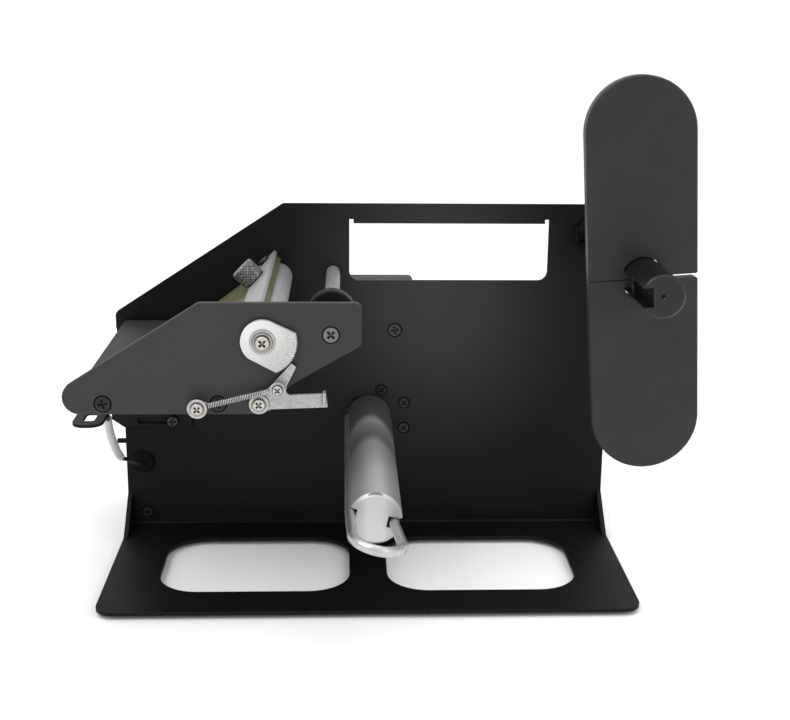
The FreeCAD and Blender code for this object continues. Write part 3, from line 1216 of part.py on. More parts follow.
def spindle_block():
    body = block(ROLL_X - BLOCK_LEFT, ROLL_X + BLOCK_RIGHT, -SHEET, -SHEET - BLOCK_DEPTH,
                 ROLL_UP - BLOCK_HALF_HEIGHT, ROLL_UP + BLOCK_HALF_HEIGHT)
    cuts = [rod(ROLL_X, ROLL_UP, ROLL_RADIUS + SCREW_FIT, OVERRUN, -SHEET - BLOCK_DEPTH - OVERRUN)]
    for way in (Z_AXIS, V(0, 0, -1)):
        cuts.append(along(at(ROLL_X, -SHEET - BLOCK_DEPTH / 2, ROLL_UP), way, GRUB_RADIUS + SCREW_FIT,
                          BLOCK_HALF_HEIGHT + OVERRUN))
    return without(body, cuts)


def block_grub_screws():
    length = BLOCK_HALF_HEIGHT - ROLL_RADIUS - GAP
    return Part.makeCompound([
        grub_screw(at(ROLL_X, -SHEET - BLOCK_DEPTH / 2, ROLL_UP) + way * (ROLL_RADIUS + SCREW_FIT + length),
                   way, GRUB_RADIUS, length) for way in (Z_AXIS, V(0, 0, -1))])


def supply_flange():
    near, far = FLANGE_FACE, FLANGE_FACE - FLANGE_THICKNESS
    half, straight = FLANGE_WIDTH / 2, (FLANGE_LENGTH - FLANGE_WIDTH) / 2
    plate = joined([block(ROLL_X - half, ROLL_X + half, near, far, ROLL_UP - straight,
                          ROLL_UP + straight),
                    rod(ROLL_X, ROLL_UP + straight, half, near, far),
                    rod(ROLL_X, ROLL_UP - straight, half, near, far)])
    flat = [face for face in plate.Faces if abs(face.normalAt(0, 0).y) > FACING_SHARE]
    plate = plate.makeChamfer(FLANGE_CHAMFER, [edge for face in flat for edge in face.Edges])
    near_cut, far_cut = near + OVERRUN, far - OVERRUN
    slit = FLANGE_SLIT / 2
    mouth = half + OVERRUN
    flare = half - FLANGE_SLIT_RADIUS
    slit_points = ((ROLL_X, ROLL_UP - slit, 0), (ROLL_X + flare, ROLL_UP - slit, 0),
                   (ROLL_X + mouth, ROLL_UP - slit - FLANGE_SLIT_RADIUS, 0),
                   (ROLL_X + mouth, ROLL_UP + slit + FLANGE_SLIT_RADIUS, 0),
                   (ROLL_X + flare, ROLL_UP + slit, 0), (ROLL_X, ROLL_UP + slit, 0))
    bore = rod(ROLL_X, ROLL_UP, ROLL_RADIUS + GAP, near_cut, far_cut)
    key_half = ROLL_GROOVE_WIDTH / 2 - FLANGE_KEY_GAP
    key = block(ROLL_X - ROLL_RADIUS - GAP - OVERRUN, ROLL_X - ROLL_RADIUS + FLANGE_KEY_DEPTH,
                near, far, ROLL_UP - key_half, ROLL_UP + key_half)
    score = block(ROLL_X - mouth, ROLL_X, near_cut, near - FLANGE_SCORE,
                  ROLL_UP - FLANGE_SCORE / 2, ROLL_UP + FLANGE_SCORE / 2)
    plate = without(plate, [bore.cut(key), front_prism(slit_points, near_cut, far_cut), score])
    plate.rotate(at(ROLL_X, near, ROLL_UP), Y_AXIS, ROLL_TURN)
    return plate


# Rear cover and what it holds

def cover_prism(inset, near, far):
    """The cover's outline, moved in by an inset, without the corner above the plate's slope."""
    box = rectangle(COVER_LEFT_X + inset, COVER_RIGHT_X - inset, -SHEET + inset, COVER_TOP - inset,
                    COVER_RADIUS - inset)
    x = NOSE_X + COVER_SLOPE_INSET + inset / math.sin(math.atan(SLOPE))
    left, right = x - BASE_WIDTH, x + BASE_WIDTH
    low, high = NOSE_TOP - SLOPE * BASE_WIDTH, NOSE_TOP + SLOPE * BASE_WIDTH
    above = ((left, low, 0), (right, high, 0), (left, high, 0))
    return front_prism(box, near, far).cut(front_prism(above, near + OVERRUN, far - OVERRUN))


def cover_high_places():
    """The two M4 screws near the cover's top, one of them between the table's two screws."""
    height = COVER_TOP - COVER_SCREW_DROP
    (left, _), (right, _) = plate_screw_places()[:2]
    return ((COVER_RIGHT_X - COVER_SCREW_INSET, height), ((left + right) / 2, height))


def cover_low_places():
    """The two M3 screws near the cover's bottom."""
    return ((COVER_RIGHT_X - COVER_SCREW_INSET, COVER_SCREW_RISE),
            (COVER_LEFT_X + COVER_LOW_SCREW_INSET, COVER_SCREW_RISE))


def rear_cover():
    """The cover's walls; its rear wall and its posts are pieces of their own."""
    inside = -COVER_BACK + COVER_WALL
    return cover_prism(0, -SHEET, inside).cut(cover_prism(COVER_WALL, -SHEET + OVERRUN,
                                                          inside - OVERRUN))


def cover_standoffs():
    """The posts behind the back plate that take the cover's and the board's screws."""
    inside, board = -COVER_BACK + COVER_WALL, -SHEET - BOARD_BEHIND - BOARD_THICKNESS
    posts = []
    for places, radius, shank, start, length in (
            (cover_high_places(), COVER_POST, M4_SHANK, -SHEET, M4_LENGTH),
            (cover_low_places(), COVER_LOW_POST, M3_SHANK, -SHEET, M4_LENGTH),
            (board_corners(), BOARD_POST, M3_SHANK, board, M3_LENGTH)):
        for x, height in places:
            bore = rod(x, height, shank + SCREW_FIT, start + OVERRUN, start - length)
            posts.append(rod(x, height, radius, start, inside).cut(bore))
    return Part.makeCompound(posts)


def cover_back():
    """The cover's rear wall with its vents and the holes for the controls."""
    inside, outside = -COVER_BACK + COVER_WALL, -COVER_BACK
    near, far = inside + OVERRUN, outside - OVERRUN
    cuts = []
    for i in range(VENT_COUNT):
        x = VENT_X + (i - (VENT_COUNT - 1) / 2) * VENT_PITCH
        cuts.append(front_prism(rectangle(x - VENT_WIDTH / 2, x + VENT_WIDTH / 2,
                                          VENT_UP - VENT_LENGTH / 2, VENT_UP + VENT_LENGTH / 2,
                                          VENT_WIDTH / 2 - SCREW_FIT), near, far))
    wide, tall = SWITCH_WIDTH / 2 + SCREW_FIT, SWITCH_HEIGHT / 2 + SCREW_FIT
    cuts.append(block(SWITCH_X - wide, SWITCH_X + wide, near, far, SWITCH_UP - tall, SWITCH_UP + tall))
    cuts.append(rod(KNOB_X, KNOB_UP, POT_BUSH_RADIUS + SCREW_FIT, near, far))
    cuts.append(rod(JACK_X, JACK_UP, JACK_RADIUS + SCREW_FIT, near, far))
    return without(cover_prism(0, inside, outside), cuts)


def cover_screws():
    screws = [countersunk_screw(at(x, 0, height), FRONT, M4_HEAD, M4_SHANK, M4_LENGTH,
                                DRIVE_SLIGHT_TURN)
              for x, height in cover_high_places()]
    screws += [countersunk_screw(at(x, 0, height), FRONT, M3_HEAD, M3_SHANK, M3_LENGTH)
               for x, height in cover_low_places()]
    return Part.makeCompound(screws)


def board_corners():
    """The four fixing places of the control board."""
    return tuple((x, height) for x in (BOARD_LEFT_X + 2 * BOARD_INSET, BOARD_RIGHT_X - BOARD_INSET)
                 for height in (BOARD_LOW + BOARD_INSET, BOARD_TOP - BOARD_INSET))


def control_board():
    near = -SHEET - BOARD_BEHIND
    width, height = BOARD_RIGHT_X - BOARD_LEFT_X, BOARD_TOP - BOARD_LOW
    board = block(BOARD_LEFT_X, BOARD_RIGHT_X, near, near - BOARD_THICKNESS, BOARD_LOW, BOARD_TOP)
    pieces = [board]
    for across, up, wide, tall, deep in CHIP_SHARES:
        x, z = BOARD_LEFT_X + width * across, BOARD_LOW + height * up
        pieces.append(block(x, x + wide * width, near + deep * height, near, z, z + tall * height))
    half = PLUG_WIDTH / 2
    pieces.append(block(max(GROMMET_X - half, BOARD_LEFT_X), GROMMET_X + half, LEAD_ROUTE[-1][1], near,
                        GROMMET_UP - PLUG_HEIGHT / 2, GROMMET_UP + PLUG_HEIGHT / 2))
    board = joined(pieces)
    for x, z in board_corners():
        board = board.cut(rod(x, z, M3_SHANK + SCREW_FIT, near + OVERRUN, near - BOARD_THICKNESS - OVERRUN))
    return board


def board_screws():
    near = -SHEET - BOARD_BEHIND
    return Part.makeCompound([pan_screw(at(x, near, z), FRONT, M3_HEAD, PAN_HEIGHT, M3_SHANK, M3_LENGTH)
                              for x, z in board_corners()])


def switch_housing():
    wide, tall = SWITCH_WIDTH / 2, SWITCH_HEIGHT / 2
    outside = -COVER_BACK
    body = block(SWITCH_X - wide, SWITCH_X + wide, outside + SWITCH_BODY, outside,
                 SWITCH_UP - tall, SWITCH_UP + tall)
    rim = block(SWITCH_X - wide - SWITCH_RIM, SWITCH_X + wide + SWITCH_RIM, outside,
                outside - SWITCH_RIM_THICKNESS, SWITCH_UP - tall - SWITCH_RIM,
                SWITCH_UP + tall + SWITCH_RIM)
    inset = SWITCH_RIM
    hollow = block(SWITCH_X - wide + inset, SWITCH_X + wide - inset, outside + SWITCH_BODY / 2,
                   outside - OVERRUN, SWITCH_UP - tall + inset, SWITCH_UP + tall - inset)
    pin = along(at(SWITCH_X - wide + inset / 2, outside, SWITCH_UP), X_AXIS, ROCKER_PIN,
                SWITCH_WIDTH - inset)
    return joined([joined([body, rim]).cut(hollow), pin])


def switch_rocker():
    """A rocker with its upper half pressed in, on a pin along X."""
    wide = SWITCH_WIDTH / 2 - SWITCH_RIM - ROCKER_CLEARANCE
    tall = SWITCH_HEIGHT / 2 - SWITCH_RIM - ROCKER_CLEARANCE * 2
    outside = -COVER_BACK - SWITCH_RIM_THICKNESS
    points = ((-COVER_BACK + SWITCH_BODY / 4, SWITCH_UP - tall / 2, 0),
              (-COVER_BACK + SWITCH_BODY / 4, SWITCH_UP + tall / 2, 0),
              (-COVER_BACK + SWITCH_RIM, SWITCH_UP + tall, 0), (outside, SWITCH_UP + tall, 0),
              (outside, SWITCH_UP, 0), (outside, SWITCH_UP - tall, 0),
              (-COVER_BACK + SWITCH_RIM, SWITCH_UP - tall, 0))
    rocker = side_prism(points, SWITCH_X - wide, SWITCH_X + wide)
    bore = along(at(SWITCH_X - wide - OVERRUN, -COVER_BACK, SWITCH_UP), X_AXIS,
                 ROCKER_PIN + RUNNING_FIT, SWITCH_WIDTH)
    rocker = rocker.cut(bore)
    rocker.rotate(at(SWITCH_X, -COVER_BACK, SWITCH_UP), X_AXIS, ROCKER_TILT)
    return rocker


def potentiometer():
    inside = -COVER_BACK + COVER_WALL
    body = rod(KNOB_X, KNOB_UP, POT_BODY_RADIUS, inside + POT_BODY, inside)
    bush = rod(KNOB_X, KNOB_UP, POT_BUSH_RADIUS, inside, inside - POT_BUSH)
    bore = rod(KNOB_X, KNOB_UP, POT_SHAFT_RADIUS + RUNNING_FIT, inside + POT_BODY / 2,
               inside - POT_BUSH - OVERRUN)
    return joined([body, bush]).cut(bore)


def knob_shaft():
    inside = -COVER_BACK + COVER_WALL
    return rod(KNOB_X, KNOB_UP, POT_SHAFT_RADIUS, inside + POT_BODY / 2 - GAP,
               inside - POT_BUSH - POT_SHAFT)


def speed_knob():
    inside = -COVER_BACK + COVER_WALL
    start = inside - POT_BUSH - KNOB_GAP
    knob = ribbed_disc(KNOB_RADIUS, KNOB_HEIGHT, KNOB_RIBS, KNOB_RIB_DEPTH, KNOB_RIB_DEPTH)
    mark = Part.makeBox(KNOB_RIB_DEPTH, KNOB_RADIUS, KNOB_RIB_DEPTH,
                        V(-KNOB_RIB_DEPTH / 2, 0, KNOB_HEIGHT - KNOB_RIB_DEPTH))
    knob = placed(knob.cut(mark), at(KNOB_X, start, KNOB_UP), BACK)
    return knob.cut(rod(KNOB_X, KNOB_UP, POT_SHAFT_RADIUS + SCREW_FIT, start + OVERRUN,
                        start - KNOB_HEIGHT + KNOB_FLOOR))


def dc_jack():
    outside = -COVER_BACK
    body = rod(JACK_X, JACK_UP, JACK_RADIUS, outside + JACK_BODY, outside)
    rim = rod(JACK_X, JACK_UP, JACK_RIM_RADIUS, outside, outside - JACK_RIM)
    bore = rod(JACK_X, JACK_UP, JACK_BORE, outside - JACK_RIM + JACK_BORE_DEPTH,
               outside - JACK_RIM - OVERRUN)
    pin = rod(JACK_X, JACK_UP, JACK_PIN, outside - JACK_RIM + JACK_BORE_DEPTH, outside - JACK_RIM / 2)
    return joined([joined([body, rim]).cut(bore), pin])


def parts():
    return {
        "frame_sheet": frame_sheet(), "corner_gussets": corner_gussets(),
        "rubber_feet": rubber_feet(), "front_plate": front_plate(), "peel_table": peel_table(),
        "table_screws": plate_screws(plate_screw_places()[:2], DRIVE_SLIGHT_TURN),
        "rod_screws": plate_screws(plate_screw_places()[2:], DRIVE_TURN),
        "guide_rod": guide_rod(), "guide_collar": guide_collar(), "collar_screw": collar_screw(),
        "brake_bar": brake_bar(), "brake_blade": brake_blade(), "clamp_plate": clamp_plate(),
        "clamp_screws": clamp_screws(), "thumb_screw": thumb_screw(), "bar_bushes": bar_bushes(),
        "bar_end_screw": bar_end_screw(),
        "ratchet_cam": ratchet_cam(), "cam_washer": cam_washer(), "cam_screw": cam_screw(),
        "pawl_lever": pawl_lever(), "pivot_washer": pivot_washer(),
        "pawl_pivot_screw": pawl_pivot_screw(), "pawl_hook_screw": pawl_hook_screw(),
        "spring_anchor_screw": spring_anchor_screw(), "extension_spring": extension_spring(),
        "sensor_bracket": sensor_bracket(), "label_sensor": label_sensor(),
        "sensor_screws": sensor_screws(), "bracket_screw": bracket_screw(),
        "sensor_lead": sensor_lead(), "marker_tube": marker_tube(), "grommet": grommet(),
        "gearbox": gearbox(), "motor_can": motor_can(),
        "motor_screws": motor_screws(), "output_shaft": output_shaft(),
        "waste_spindle": waste_spindle(), "spindle_grub_screw": spindle_grub_screw(),
        "wire_bail": wire_bail(), "roll_spindle": roll_spindle(),
        "spindle_block": spindle_block(), "block_grub_screws": block_grub_screws(),
        "supply_flange": supply_flange(), "rear_cover": rear_cover(),
        "cover_back": cover_back(), "cover_standoffs": cover_standoffs(),
        "cover_screws": cover_screws(), "control_board": control_board(),
        "board_screws": board_screws(), "switch_housing": switch_housing(),
        "switch_rocker": switch_rocker(), "potentiometer": potentiometer(),
        "knob_shaft": knob_shaft(), "speed_knob": speed_knob(), "dc_jack": dc_jack(),
    }


os.makedirs("parts", exist_ok=True)
for name, shape in parts().items():
    solids = len(shape.Solids)
    if not shape.isValid() or solids == 0:
        print("warning:", name, "valid", shape.isValid(), "solids", solids)
    shape.exportStep("parts/" + name + ".step")
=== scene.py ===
import math

import bpy
from mathutils import Matrix, Vector


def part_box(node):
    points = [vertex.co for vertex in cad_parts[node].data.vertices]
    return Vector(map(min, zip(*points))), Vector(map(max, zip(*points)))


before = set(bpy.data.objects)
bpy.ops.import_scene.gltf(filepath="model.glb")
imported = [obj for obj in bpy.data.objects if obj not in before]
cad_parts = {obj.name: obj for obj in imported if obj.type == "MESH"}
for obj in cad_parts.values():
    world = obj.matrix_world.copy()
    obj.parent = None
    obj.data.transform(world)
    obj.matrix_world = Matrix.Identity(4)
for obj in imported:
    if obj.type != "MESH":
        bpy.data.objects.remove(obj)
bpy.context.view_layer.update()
MM = 0.001


# Camera: fitted to the photograph's frame of 790 x 720

IMAGE_WIDTH = 790
FOCAL_PIXELS = 1299.4
FILM_WIDTH = 36.0
NEAREST = 10.0 * MM
CAMERA_PLACE = Vector((-13.784, -676.354, 305.204)) * MM
PITCH, YAW, ROLL = 0.26337, 0.04129, 0.01007

# Floor, world and lamps: a lamp has a place, a target, a side length and a power

FLOOR_HALF = 6.0
FLOOR_TONES = 0.985, 1.0
WORLD_LEVEL = 1.0
LAMPS = {
    "key": ((-0.7, -0.7, 1.3), (0.0, 0.0, 0.1), 0.9, 7.0),
    "top": ((0.2, 0.1, 1.5), (0.0, 0.0, 0.1), 1.2, 4.5),
    "fill": ((0.9, -0.9, 0.9), (0.0, 0.0, 0.12), 0.9, 3.0),
}

# Painted sheens and highlights on a coat or metal, soft patches of a lighter tone that stand in for
# reflected light: centre, reach, scale of each axis, and color

# Painted sheens of reflected light on the back plate, at its lower left and upper middle.
PLATE_SHEENS = (
    ((-0.045, 0.0604, 0.075), 0.12, (1.0, 1.0, 1.5), (0.010, 0.0105, 0.0095)),
    ((0.038, 0.0604, 0.144), 0.098, (1.0, 1.0, 0.8), (0.036, 0.037, 0.033)),
)
# Painted highlight of light on the cam's upper left.
CAM_SHEENS = (
    ((-0.055, -0.0929, 0.161), 0.024, (1.0, 1.0, 1.0), (0.70, 0.70, 0.685)),
)

# Painted reflections and shade along the waste spindle, standing in for the back plate and the room
# mirrored in it: share of its length from the back plate, and level.
# The bend, times the square of the distance across in metres, carries them forward at its sides.

SPINDLE_REFLECTION_BANDS = ((0.0, 0.10), (0.21, 0.14), (0.29, 0.80), (0.36, 0.5), (0.44, 0.28), (0.54, 0.75),
                 (0.8, 1.0))
SPINDLE_REFLECTION_BEND = 100.0

KNURL_PITCH = 1.25 * MM
THUMB_TILT = math.radians(45.0)


def add_camera():
    data = bpy.data.cameras.new("camera")
    data.sensor_width = FILM_WIDTH
    data.lens = FOCAL_PIXELS * FILM_WIDTH / IMAGE_WIDTH
    data.clip_start = NEAREST
    camera = bpy.data.objects.new("camera", data)
    ahead = Vector((math.sin(YAW) * math.cos(PITCH), math.cos(YAW) * math.cos(PITCH), -math.sin(PITCH)))
    right = Vector((math.cos(YAW), -math.sin(YAW), 0))
    up = right.cross(ahead)
    across = right * math.cos(ROLL) + up * math.sin(ROLL)
    above = up * math.cos(ROLL) - right * math.sin(ROLL)
    turn = Matrix((across, above, -ahead)).transposed().to_4x4()
    camera.matrix_world = Matrix.Translation(CAMERA_PLACE) @ turn
    bpy.context.collection.objects.link(camera)
    bpy.context.scene.camera = camera


# Node helpers

class Nodes:
    """A material's node tree with short calls for adding and joining nodes."""

    def __init__(self, name):
        self.material = bpy.data.materials.new(name)
        self.material.use_nodes = True
        self.tree = self.material.node_tree
        self.shader = self.tree.nodes["Principled BSDF"]
        self.place = self.add("ShaderNodeTexCoord").outputs["Object"]

    def add(self, kind, **settings):
        node = self.tree.nodes.new(kind)
        for key, value in settings.items():
            setattr(node, key, value)
        return node

    def join(self, source, target):
        self.tree.links.new(source, target)

    def put(self, socket, value):
        """Sets a socket, or links it when the value is another socket."""
        if isinstance(value, bpy.types.NodeSocket):
            self.join(value, socket)
        else:
            socket.default_value = value

    def shade(self, **values):
        """Puts values on the shader's sockets, with an underscore for each space in a socket's name."""
        for key, value in values.items():
            self.put(self.shader.inputs[key.replace("_", " ")], value)

    def vector(self, operation, a, b=None):
        """A vector operation on a socket and, where given, a constant."""
        node = self.add("ShaderNodeVectorMath", operation=operation)
        self.join(a, node.inputs[0])
        if b is not None:
            node.inputs[1].default_value = b
        return node.outputs["Value" if operation in ("LENGTH", "DISTANCE") else "Vector"]

    def split(self, vector):
        node = self.add("ShaderNodeSeparateXYZ")
        self.join(vector, node.inputs[0])
        return [node.outputs[axis] for axis in "XYZ"]

    def stretch(self, scale):
        node = self.add("ShaderNodeMapping")
        self.join(self.place, node.inputs["Vector"])
        node.inputs["Scale"].default_value = scale
        return node.outputs["Vector"]

    def noise(self, scale, detail=2.0, roughness=0.5, place=None):
        """Noise with features about one over the scale in size, in metres."""
        node = self.add("ShaderNodeTexNoise")
        self.join(place or self.place, node.inputs["Vector"])
        node.inputs["Scale"].default_value = scale
        node.inputs["Detail"].default_value = detail
        node.inputs["Roughness"].default_value = roughness
        return node.outputs["Fac"]

    def ramp(self, factor, low, high, start=0.0, end=1.0, kind="LINEAR"):
        """Maps the factor from start and end to low and high, and stays within them."""
        node = self.add("ShaderNodeMapRange", interpolation_type=kind)
        self.put(node.inputs["Value"], factor)
        node.inputs["From Min"].default_value = start
        node.inputs["From Max"].default_value = end
        node.inputs["To Min"].default_value = low
        node.inputs["To Max"].default_value = high
        return node.outputs["Result"]

    def math(self, operation, a, b=0.0):
        node = self.add("ShaderNodeMath", operation=operation)
        self.put(node.inputs[0], a)
        self.put(node.inputs[1], b)
        return node.outputs[0]

    def times(self, a, b):
        return self.math("MULTIPLY", a, b)

    def mix(self, factor, a, b):
        node = self.add("ShaderNodeMix", data_type="RGBA")
        self.put(node.inputs[0], factor)
        self.put(node.inputs[6], a)
        self.put(node.inputs[7], b)
        return node.outputs[2]

    def bump(self, height, strength, distance, normal=None):
        node = self.add("ShaderNodeBump")
        node.inputs["Strength"].default_value = strength
        node.inputs["Distance"].default_value = distance
        self.join(height, node.inputs["Height"])
        if normal is not None:
            self.join(normal, node.inputs["Normal"])
        return node.outputs["Normal"]

    def edges(self, radius):
        """The rounded normal, and a mask that is 1 on edges sharper than the radius."""
        bevel = self.add("ShaderNodeBevel", samples=6)
        bevel.inputs["Radius"].default_value = radius
        flat = self.add("ShaderNodeNewGeometry").outputs["Normal"]
        dot = self.add("ShaderNodeVectorMath", operation="DOT_PRODUCT")
        self.join(bevel.outputs["Normal"], dot.inputs[0])
        self.join(flat, dot.inputs[1])
        return bevel.outputs["Normal"], self.ramp(dot.outputs["Value"], 1.0, 0.0, start=0.75, end=0.99)

    def recess(self, distance, low, high):
        """A mask that is 1 deep in grooves and holes about as wide as the distance."""
        close = self.add("ShaderNodeAmbientOcclusion", samples=8)
        close.inputs["Distance"].default_value = distance
        return self.ramp(close.outputs["AO"], 1.0, 0.0, start=low, end=high)

    def painted_sheens(self, tone, sheens):
        """The tone with painted sheens: soft patches of other colors that stand in for reflected light.
        """
        for centre, reach, scale, color in sheens:
            away = self.vector("DISTANCE", self.stretch(scale), [c * k for c, k in zip(centre, scale)])
            mask = self.ramp(away, 1.0, 0.0, start=0.0, end=reach, kind="SMOOTHSTEP")
            tone = self.mix(mask, tone, tint(color))
        return tone


def tint(color, share=1.0):
    """A color scaled by a share, as a socket's value."""
    return (*(min(1.0, c * share) for c in color), 1.0)


def middle_of(node):
    """The middle of a CAD node's box at rest."""
    low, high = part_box(node)
    return tuple((a + b) / 2 for a, b in zip(low, high))


# Materials

def coated(name, color, worn_and_highlight, roughness, grain=900.0, depth=0.06 * MM, specular=0.35, cloud=0.86,
           sheens=()):
    """Powder coat or paint on sheet metal: a fine grain, soft clouds, paler worn edges that also stand
    for painted edge highlights, painted sheens, and painted shade in recesses.
    """
    n = Nodes(name)
    normal, mask = n.edges(0.5 * MM)
    clouds = n.noise(22.0, detail=4.0, roughness=0.6)
    fine = n.noise(grain, detail=3.0, roughness=0.6)
    scuffs = n.noise(160.0, detail=5.0, roughness=0.75, place=n.stretch((1.0, 1.0, 0.35)))
    tone = n.mix(n.ramp(clouds, 0.0, 1.0, start=0.35, end=0.7), tint(color, cloud), tint(color))
    tone = n.painted_sheens(tone, sheens)
    # Paler worn edges, which also stand for painted highlights along the edges.
    wear_and_highlight = n.times(mask, n.ramp(scuffs, 0.15, 0.8, start=0.35, end=0.65))
    tone = n.mix(wear_and_highlight, tone, tint(worn_and_highlight))
    # Painted shade: recesses, countersinks and inner corners are darkened.
    n.shade(Base_Color=n.mix(n.recess(1.6 * MM, 0.55, 1.0), tone, tint(color, 0.05)),
            Roughness=n.ramp(n.math("ADD", fine, clouds), roughness - 0.05, roughness + 0.08,
                             start=0.7, end=1.3),
            Specular_IOR_Level=specular, Normal=n.bump(fine, 0.35, depth, normal))
    return n.material


def turned(name, color, roughness, node, reflection_bands, reflection_bend, rings=2600.0):
    """A turned bar along Y: fine rings on its faces, fine lines on its side, painted reflection and
    shade bands along it, and painted shade at its sides and on its front chamfer.
    """
    n = Nodes(name)
    low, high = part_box(node)
    outer, length = (high[0] - low[0]) / 2, high[1] - low[1]
    normal, mask = n.edges(0.3 * MM)
    flat = n.vector("MULTIPLY", n.vector("SUBTRACT", n.place, middle_of(node)), (1.0, 0.0, 1.0))
    radius = n.vector("LENGTH", flat)
    forward, across = n.split(n.place)[1], n.split(flat)[0]
    lines = n.noise(1.0, detail=3.0, roughness=0.7,
                    place=n.math("ADD", n.times(forward, rings), n.times(radius, rings)))
    speckle = n.noise(1400.0, detail=2.0, roughness=0.6)
    stains = n.noise(60.0, detail=4.0, roughness=0.6)
    tone = n.mix(n.ramp(stains, 0.0, 1.0, start=0.3, end=0.7), tint(color, 0.9), tint(color))
    tone = n.mix(n.ramp(speckle, 0.0, 0.4, start=0.35, end=0.7), tone, tint(color, 0.72))
    tone = n.mix(n.times(mask, 0.5), tone, tint(color, 0.5))

    # Painted reflections and shade: the side follows the bands, darkest near the back plate that is
    # mirrored in it.
    shift = n.times(n.times(across, across), reflection_bend)
    share = n.math("DIVIDE", n.math("SUBTRACT", n.math("SUBTRACT", high[1], forward), shift), length)
    reflection_level = n.add("ShaderNodeValToRGB")
    n.join(share, reflection_level.inputs["Fac"])
    ramp = reflection_level.color_ramp
    ramp.interpolation = "EASE"
    while len(ramp.elements) < len(reflection_bands):
        ramp.elements.new(0.5)
    for element, (place, value) in zip(ramp.elements, reflection_bands):
        element.position, element.color = place, tint((value, value, value))
    tone = n.mix(reflection_level.outputs["Color"], tint(color, 0.08), tone)

    # Painted shade: the side darkens towards its left and right, and a ring on the front chamfer is
    # darkened.
    end = n.ramp(share, 0.0, 1.0, start=0.985, end=0.99)
    side = n.ramp(n.math("ABSOLUTE", across), 0.0, 0.65, start=outer * 0.25, end=outer)
    chamfer_shade = n.ramp(radius, 0.0, 0.8, start=outer * 0.92, end=outer * 0.94)
    tone = n.mix(n.times(side, n.math("SUBTRACT", 1.0, end)), tone, tint(color, 0.2))
    tone = n.mix(n.times(chamfer_shade, end), tone, tint(color, 0.15))
    n.shade(Base_Color=tone, Metallic=0.6,
            Roughness=n.ramp(lines, roughness - 0.07, roughness + 0.1, start=0.3, end=0.7),
            Normal=n.bump(lines, 0.25, 0.03 * MM, normal))
    return n.material


def knurled(name, color, roughness, node, tilt, pitch):
    """A turned head with a crossed knurl around its side and plain faces, with painted glints on the
    knurl's tips and painted shade in its cuts.
    """
    n = Nodes(name)
    low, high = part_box(node)
    radius = (high[1] - low[1]) / 2
    normal, _ = n.edges(0.3 * MM)
    turn = n.add("ShaderNodeMapping")
    n.join(n.vector("SUBTRACT", n.place, middle_of(node)), turn.inputs["Vector"])
    turn.inputs["Rotation"].default_value = (0.0, tilt, 0.0)
    x, y, z = n.split(turn.outputs[0])
    around = n.times(n.math("ARCTAN2", y, x), radius)
    waves = [n.math("ABSOLUTE", n.math("SINE", n.times(n.math(way, around, z), math.pi / pitch)))
             for way in ("ADD", "SUBTRACT")]
    knurl = n.times(*waves)
    away = n.math("SQRT", n.math("ADD", n.times(x, x), n.times(y, y)))
    side = n.ramp(away, 0.0, 1.0, start=radius - 0.9 * MM, end=radius - 0.6 * MM)
    speckle = n.noise(500.0, detail=3.0, roughness=0.65)
    # Painted light: glints on the knurl's tips, and painted shade in the cuts between them.
    tip_glint = n.times(n.ramp(knurl, 0.0, 1.0, start=0.35, end=0.8),
                  n.ramp(speckle, 0.35, 1.0, start=0.4, end=0.6))
    glint_and_shade = n.mix(tip_glint, tint(color, 0.12), tint(color, 1.9))
    plain = n.mix(n.ramp(speckle, 0.0, 0.6, start=0.4, end=0.7), tint(color), tint(color, 0.65))
    n.shade(Base_Color=n.mix(side, plain, glint_and_shade), Metallic=0.75,
            Roughness=n.ramp(speckle, roughness - 0.05, roughness + 0.1, start=0.3, end=0.7),
            Normal=n.bump(n.times(knurl, side), 0.6, 0.3 * MM, normal))
    return n.material


def brushed(name, color, roughness, scale, dents, metallic, dark=0.7, sheens=()):
    """Bare metal with fine lines along one axis: the scale is small along the lines."""
    n = Nodes(name)
    normal, mask = n.edges(0.3 * MM)
    lines = n.noise(1.0, detail=4.0, roughness=0.65, place=n.stretch(scale))
    speckle = n.noise(1100.0, detail=3.0, roughness=0.65)
    stains = n.noise(75.0, detail=4.0, roughness=0.6)
    tone = n.mix(n.ramp(stains, 0.0, 0.5, start=0.35, end=0.75), tint(color), tint(color, dark))
    tone = n.mix(n.ramp(speckle, 0.0, dents, start=0.45, end=0.7), tone, tint(color, dark))
    tone = n.painted_sheens(tone, sheens)
    tone = n.mix(n.times(mask, 0.4), tone, tint(color, 0.55))
    # Painted shade: recesses and inner corners are darkened.
    tone = n.mix(n.recess(1.5 * MM, 0.3, 0.8), tone, tint(color, 0.12))
    height = n.math("ADD", n.times(lines, 0.6), n.times(speckle, 0.6))
    n.shade(Base_Color=tone, Metallic=metallic,
            Roughness=n.ramp(lines, roughness - 0.06, roughness + 0.12, start=0.3, end=0.7),
            Normal=n.bump(height, 0.3, 0.04 * MM, normal))
    return n.material


def plated(name, color, roughness=0.3, metallic=1.0, dark_edges=0.5, recess_shade=(0.5, 0.93)):
    """Screw steel with a plated skin, darker at its edges, with painted shade in its recesses."""
    n = Nodes(name)
    normal, mask = n.edges(0.25 * MM)
    clouds = n.noise(420.0, detail=3.0, roughness=0.6)
    tone = n.mix(n.ramp(clouds, 0.0, 0.7, start=0.35, end=0.7), tint(color), tint(color, 0.75))
    tone = n.mix(n.times(mask, dark_edges), tone, tint(color, 0.22))
    # Painted shade in recesses, such as a drive's cross and the gaps between coils.
    tone = n.mix(n.recess(1.8 * MM, *recess_shade), tone, tint(color, 0.06))
    n.shade(Base_Color=tone, Metallic=metallic,
            Roughness=n.ramp(clouds, roughness - 0.05, roughness + 0.1, start=0.3, end=0.7),
            Normal=n.bump(n.noise(1600.0), 0.2, 0.03 * MM, normal))
    return n.material


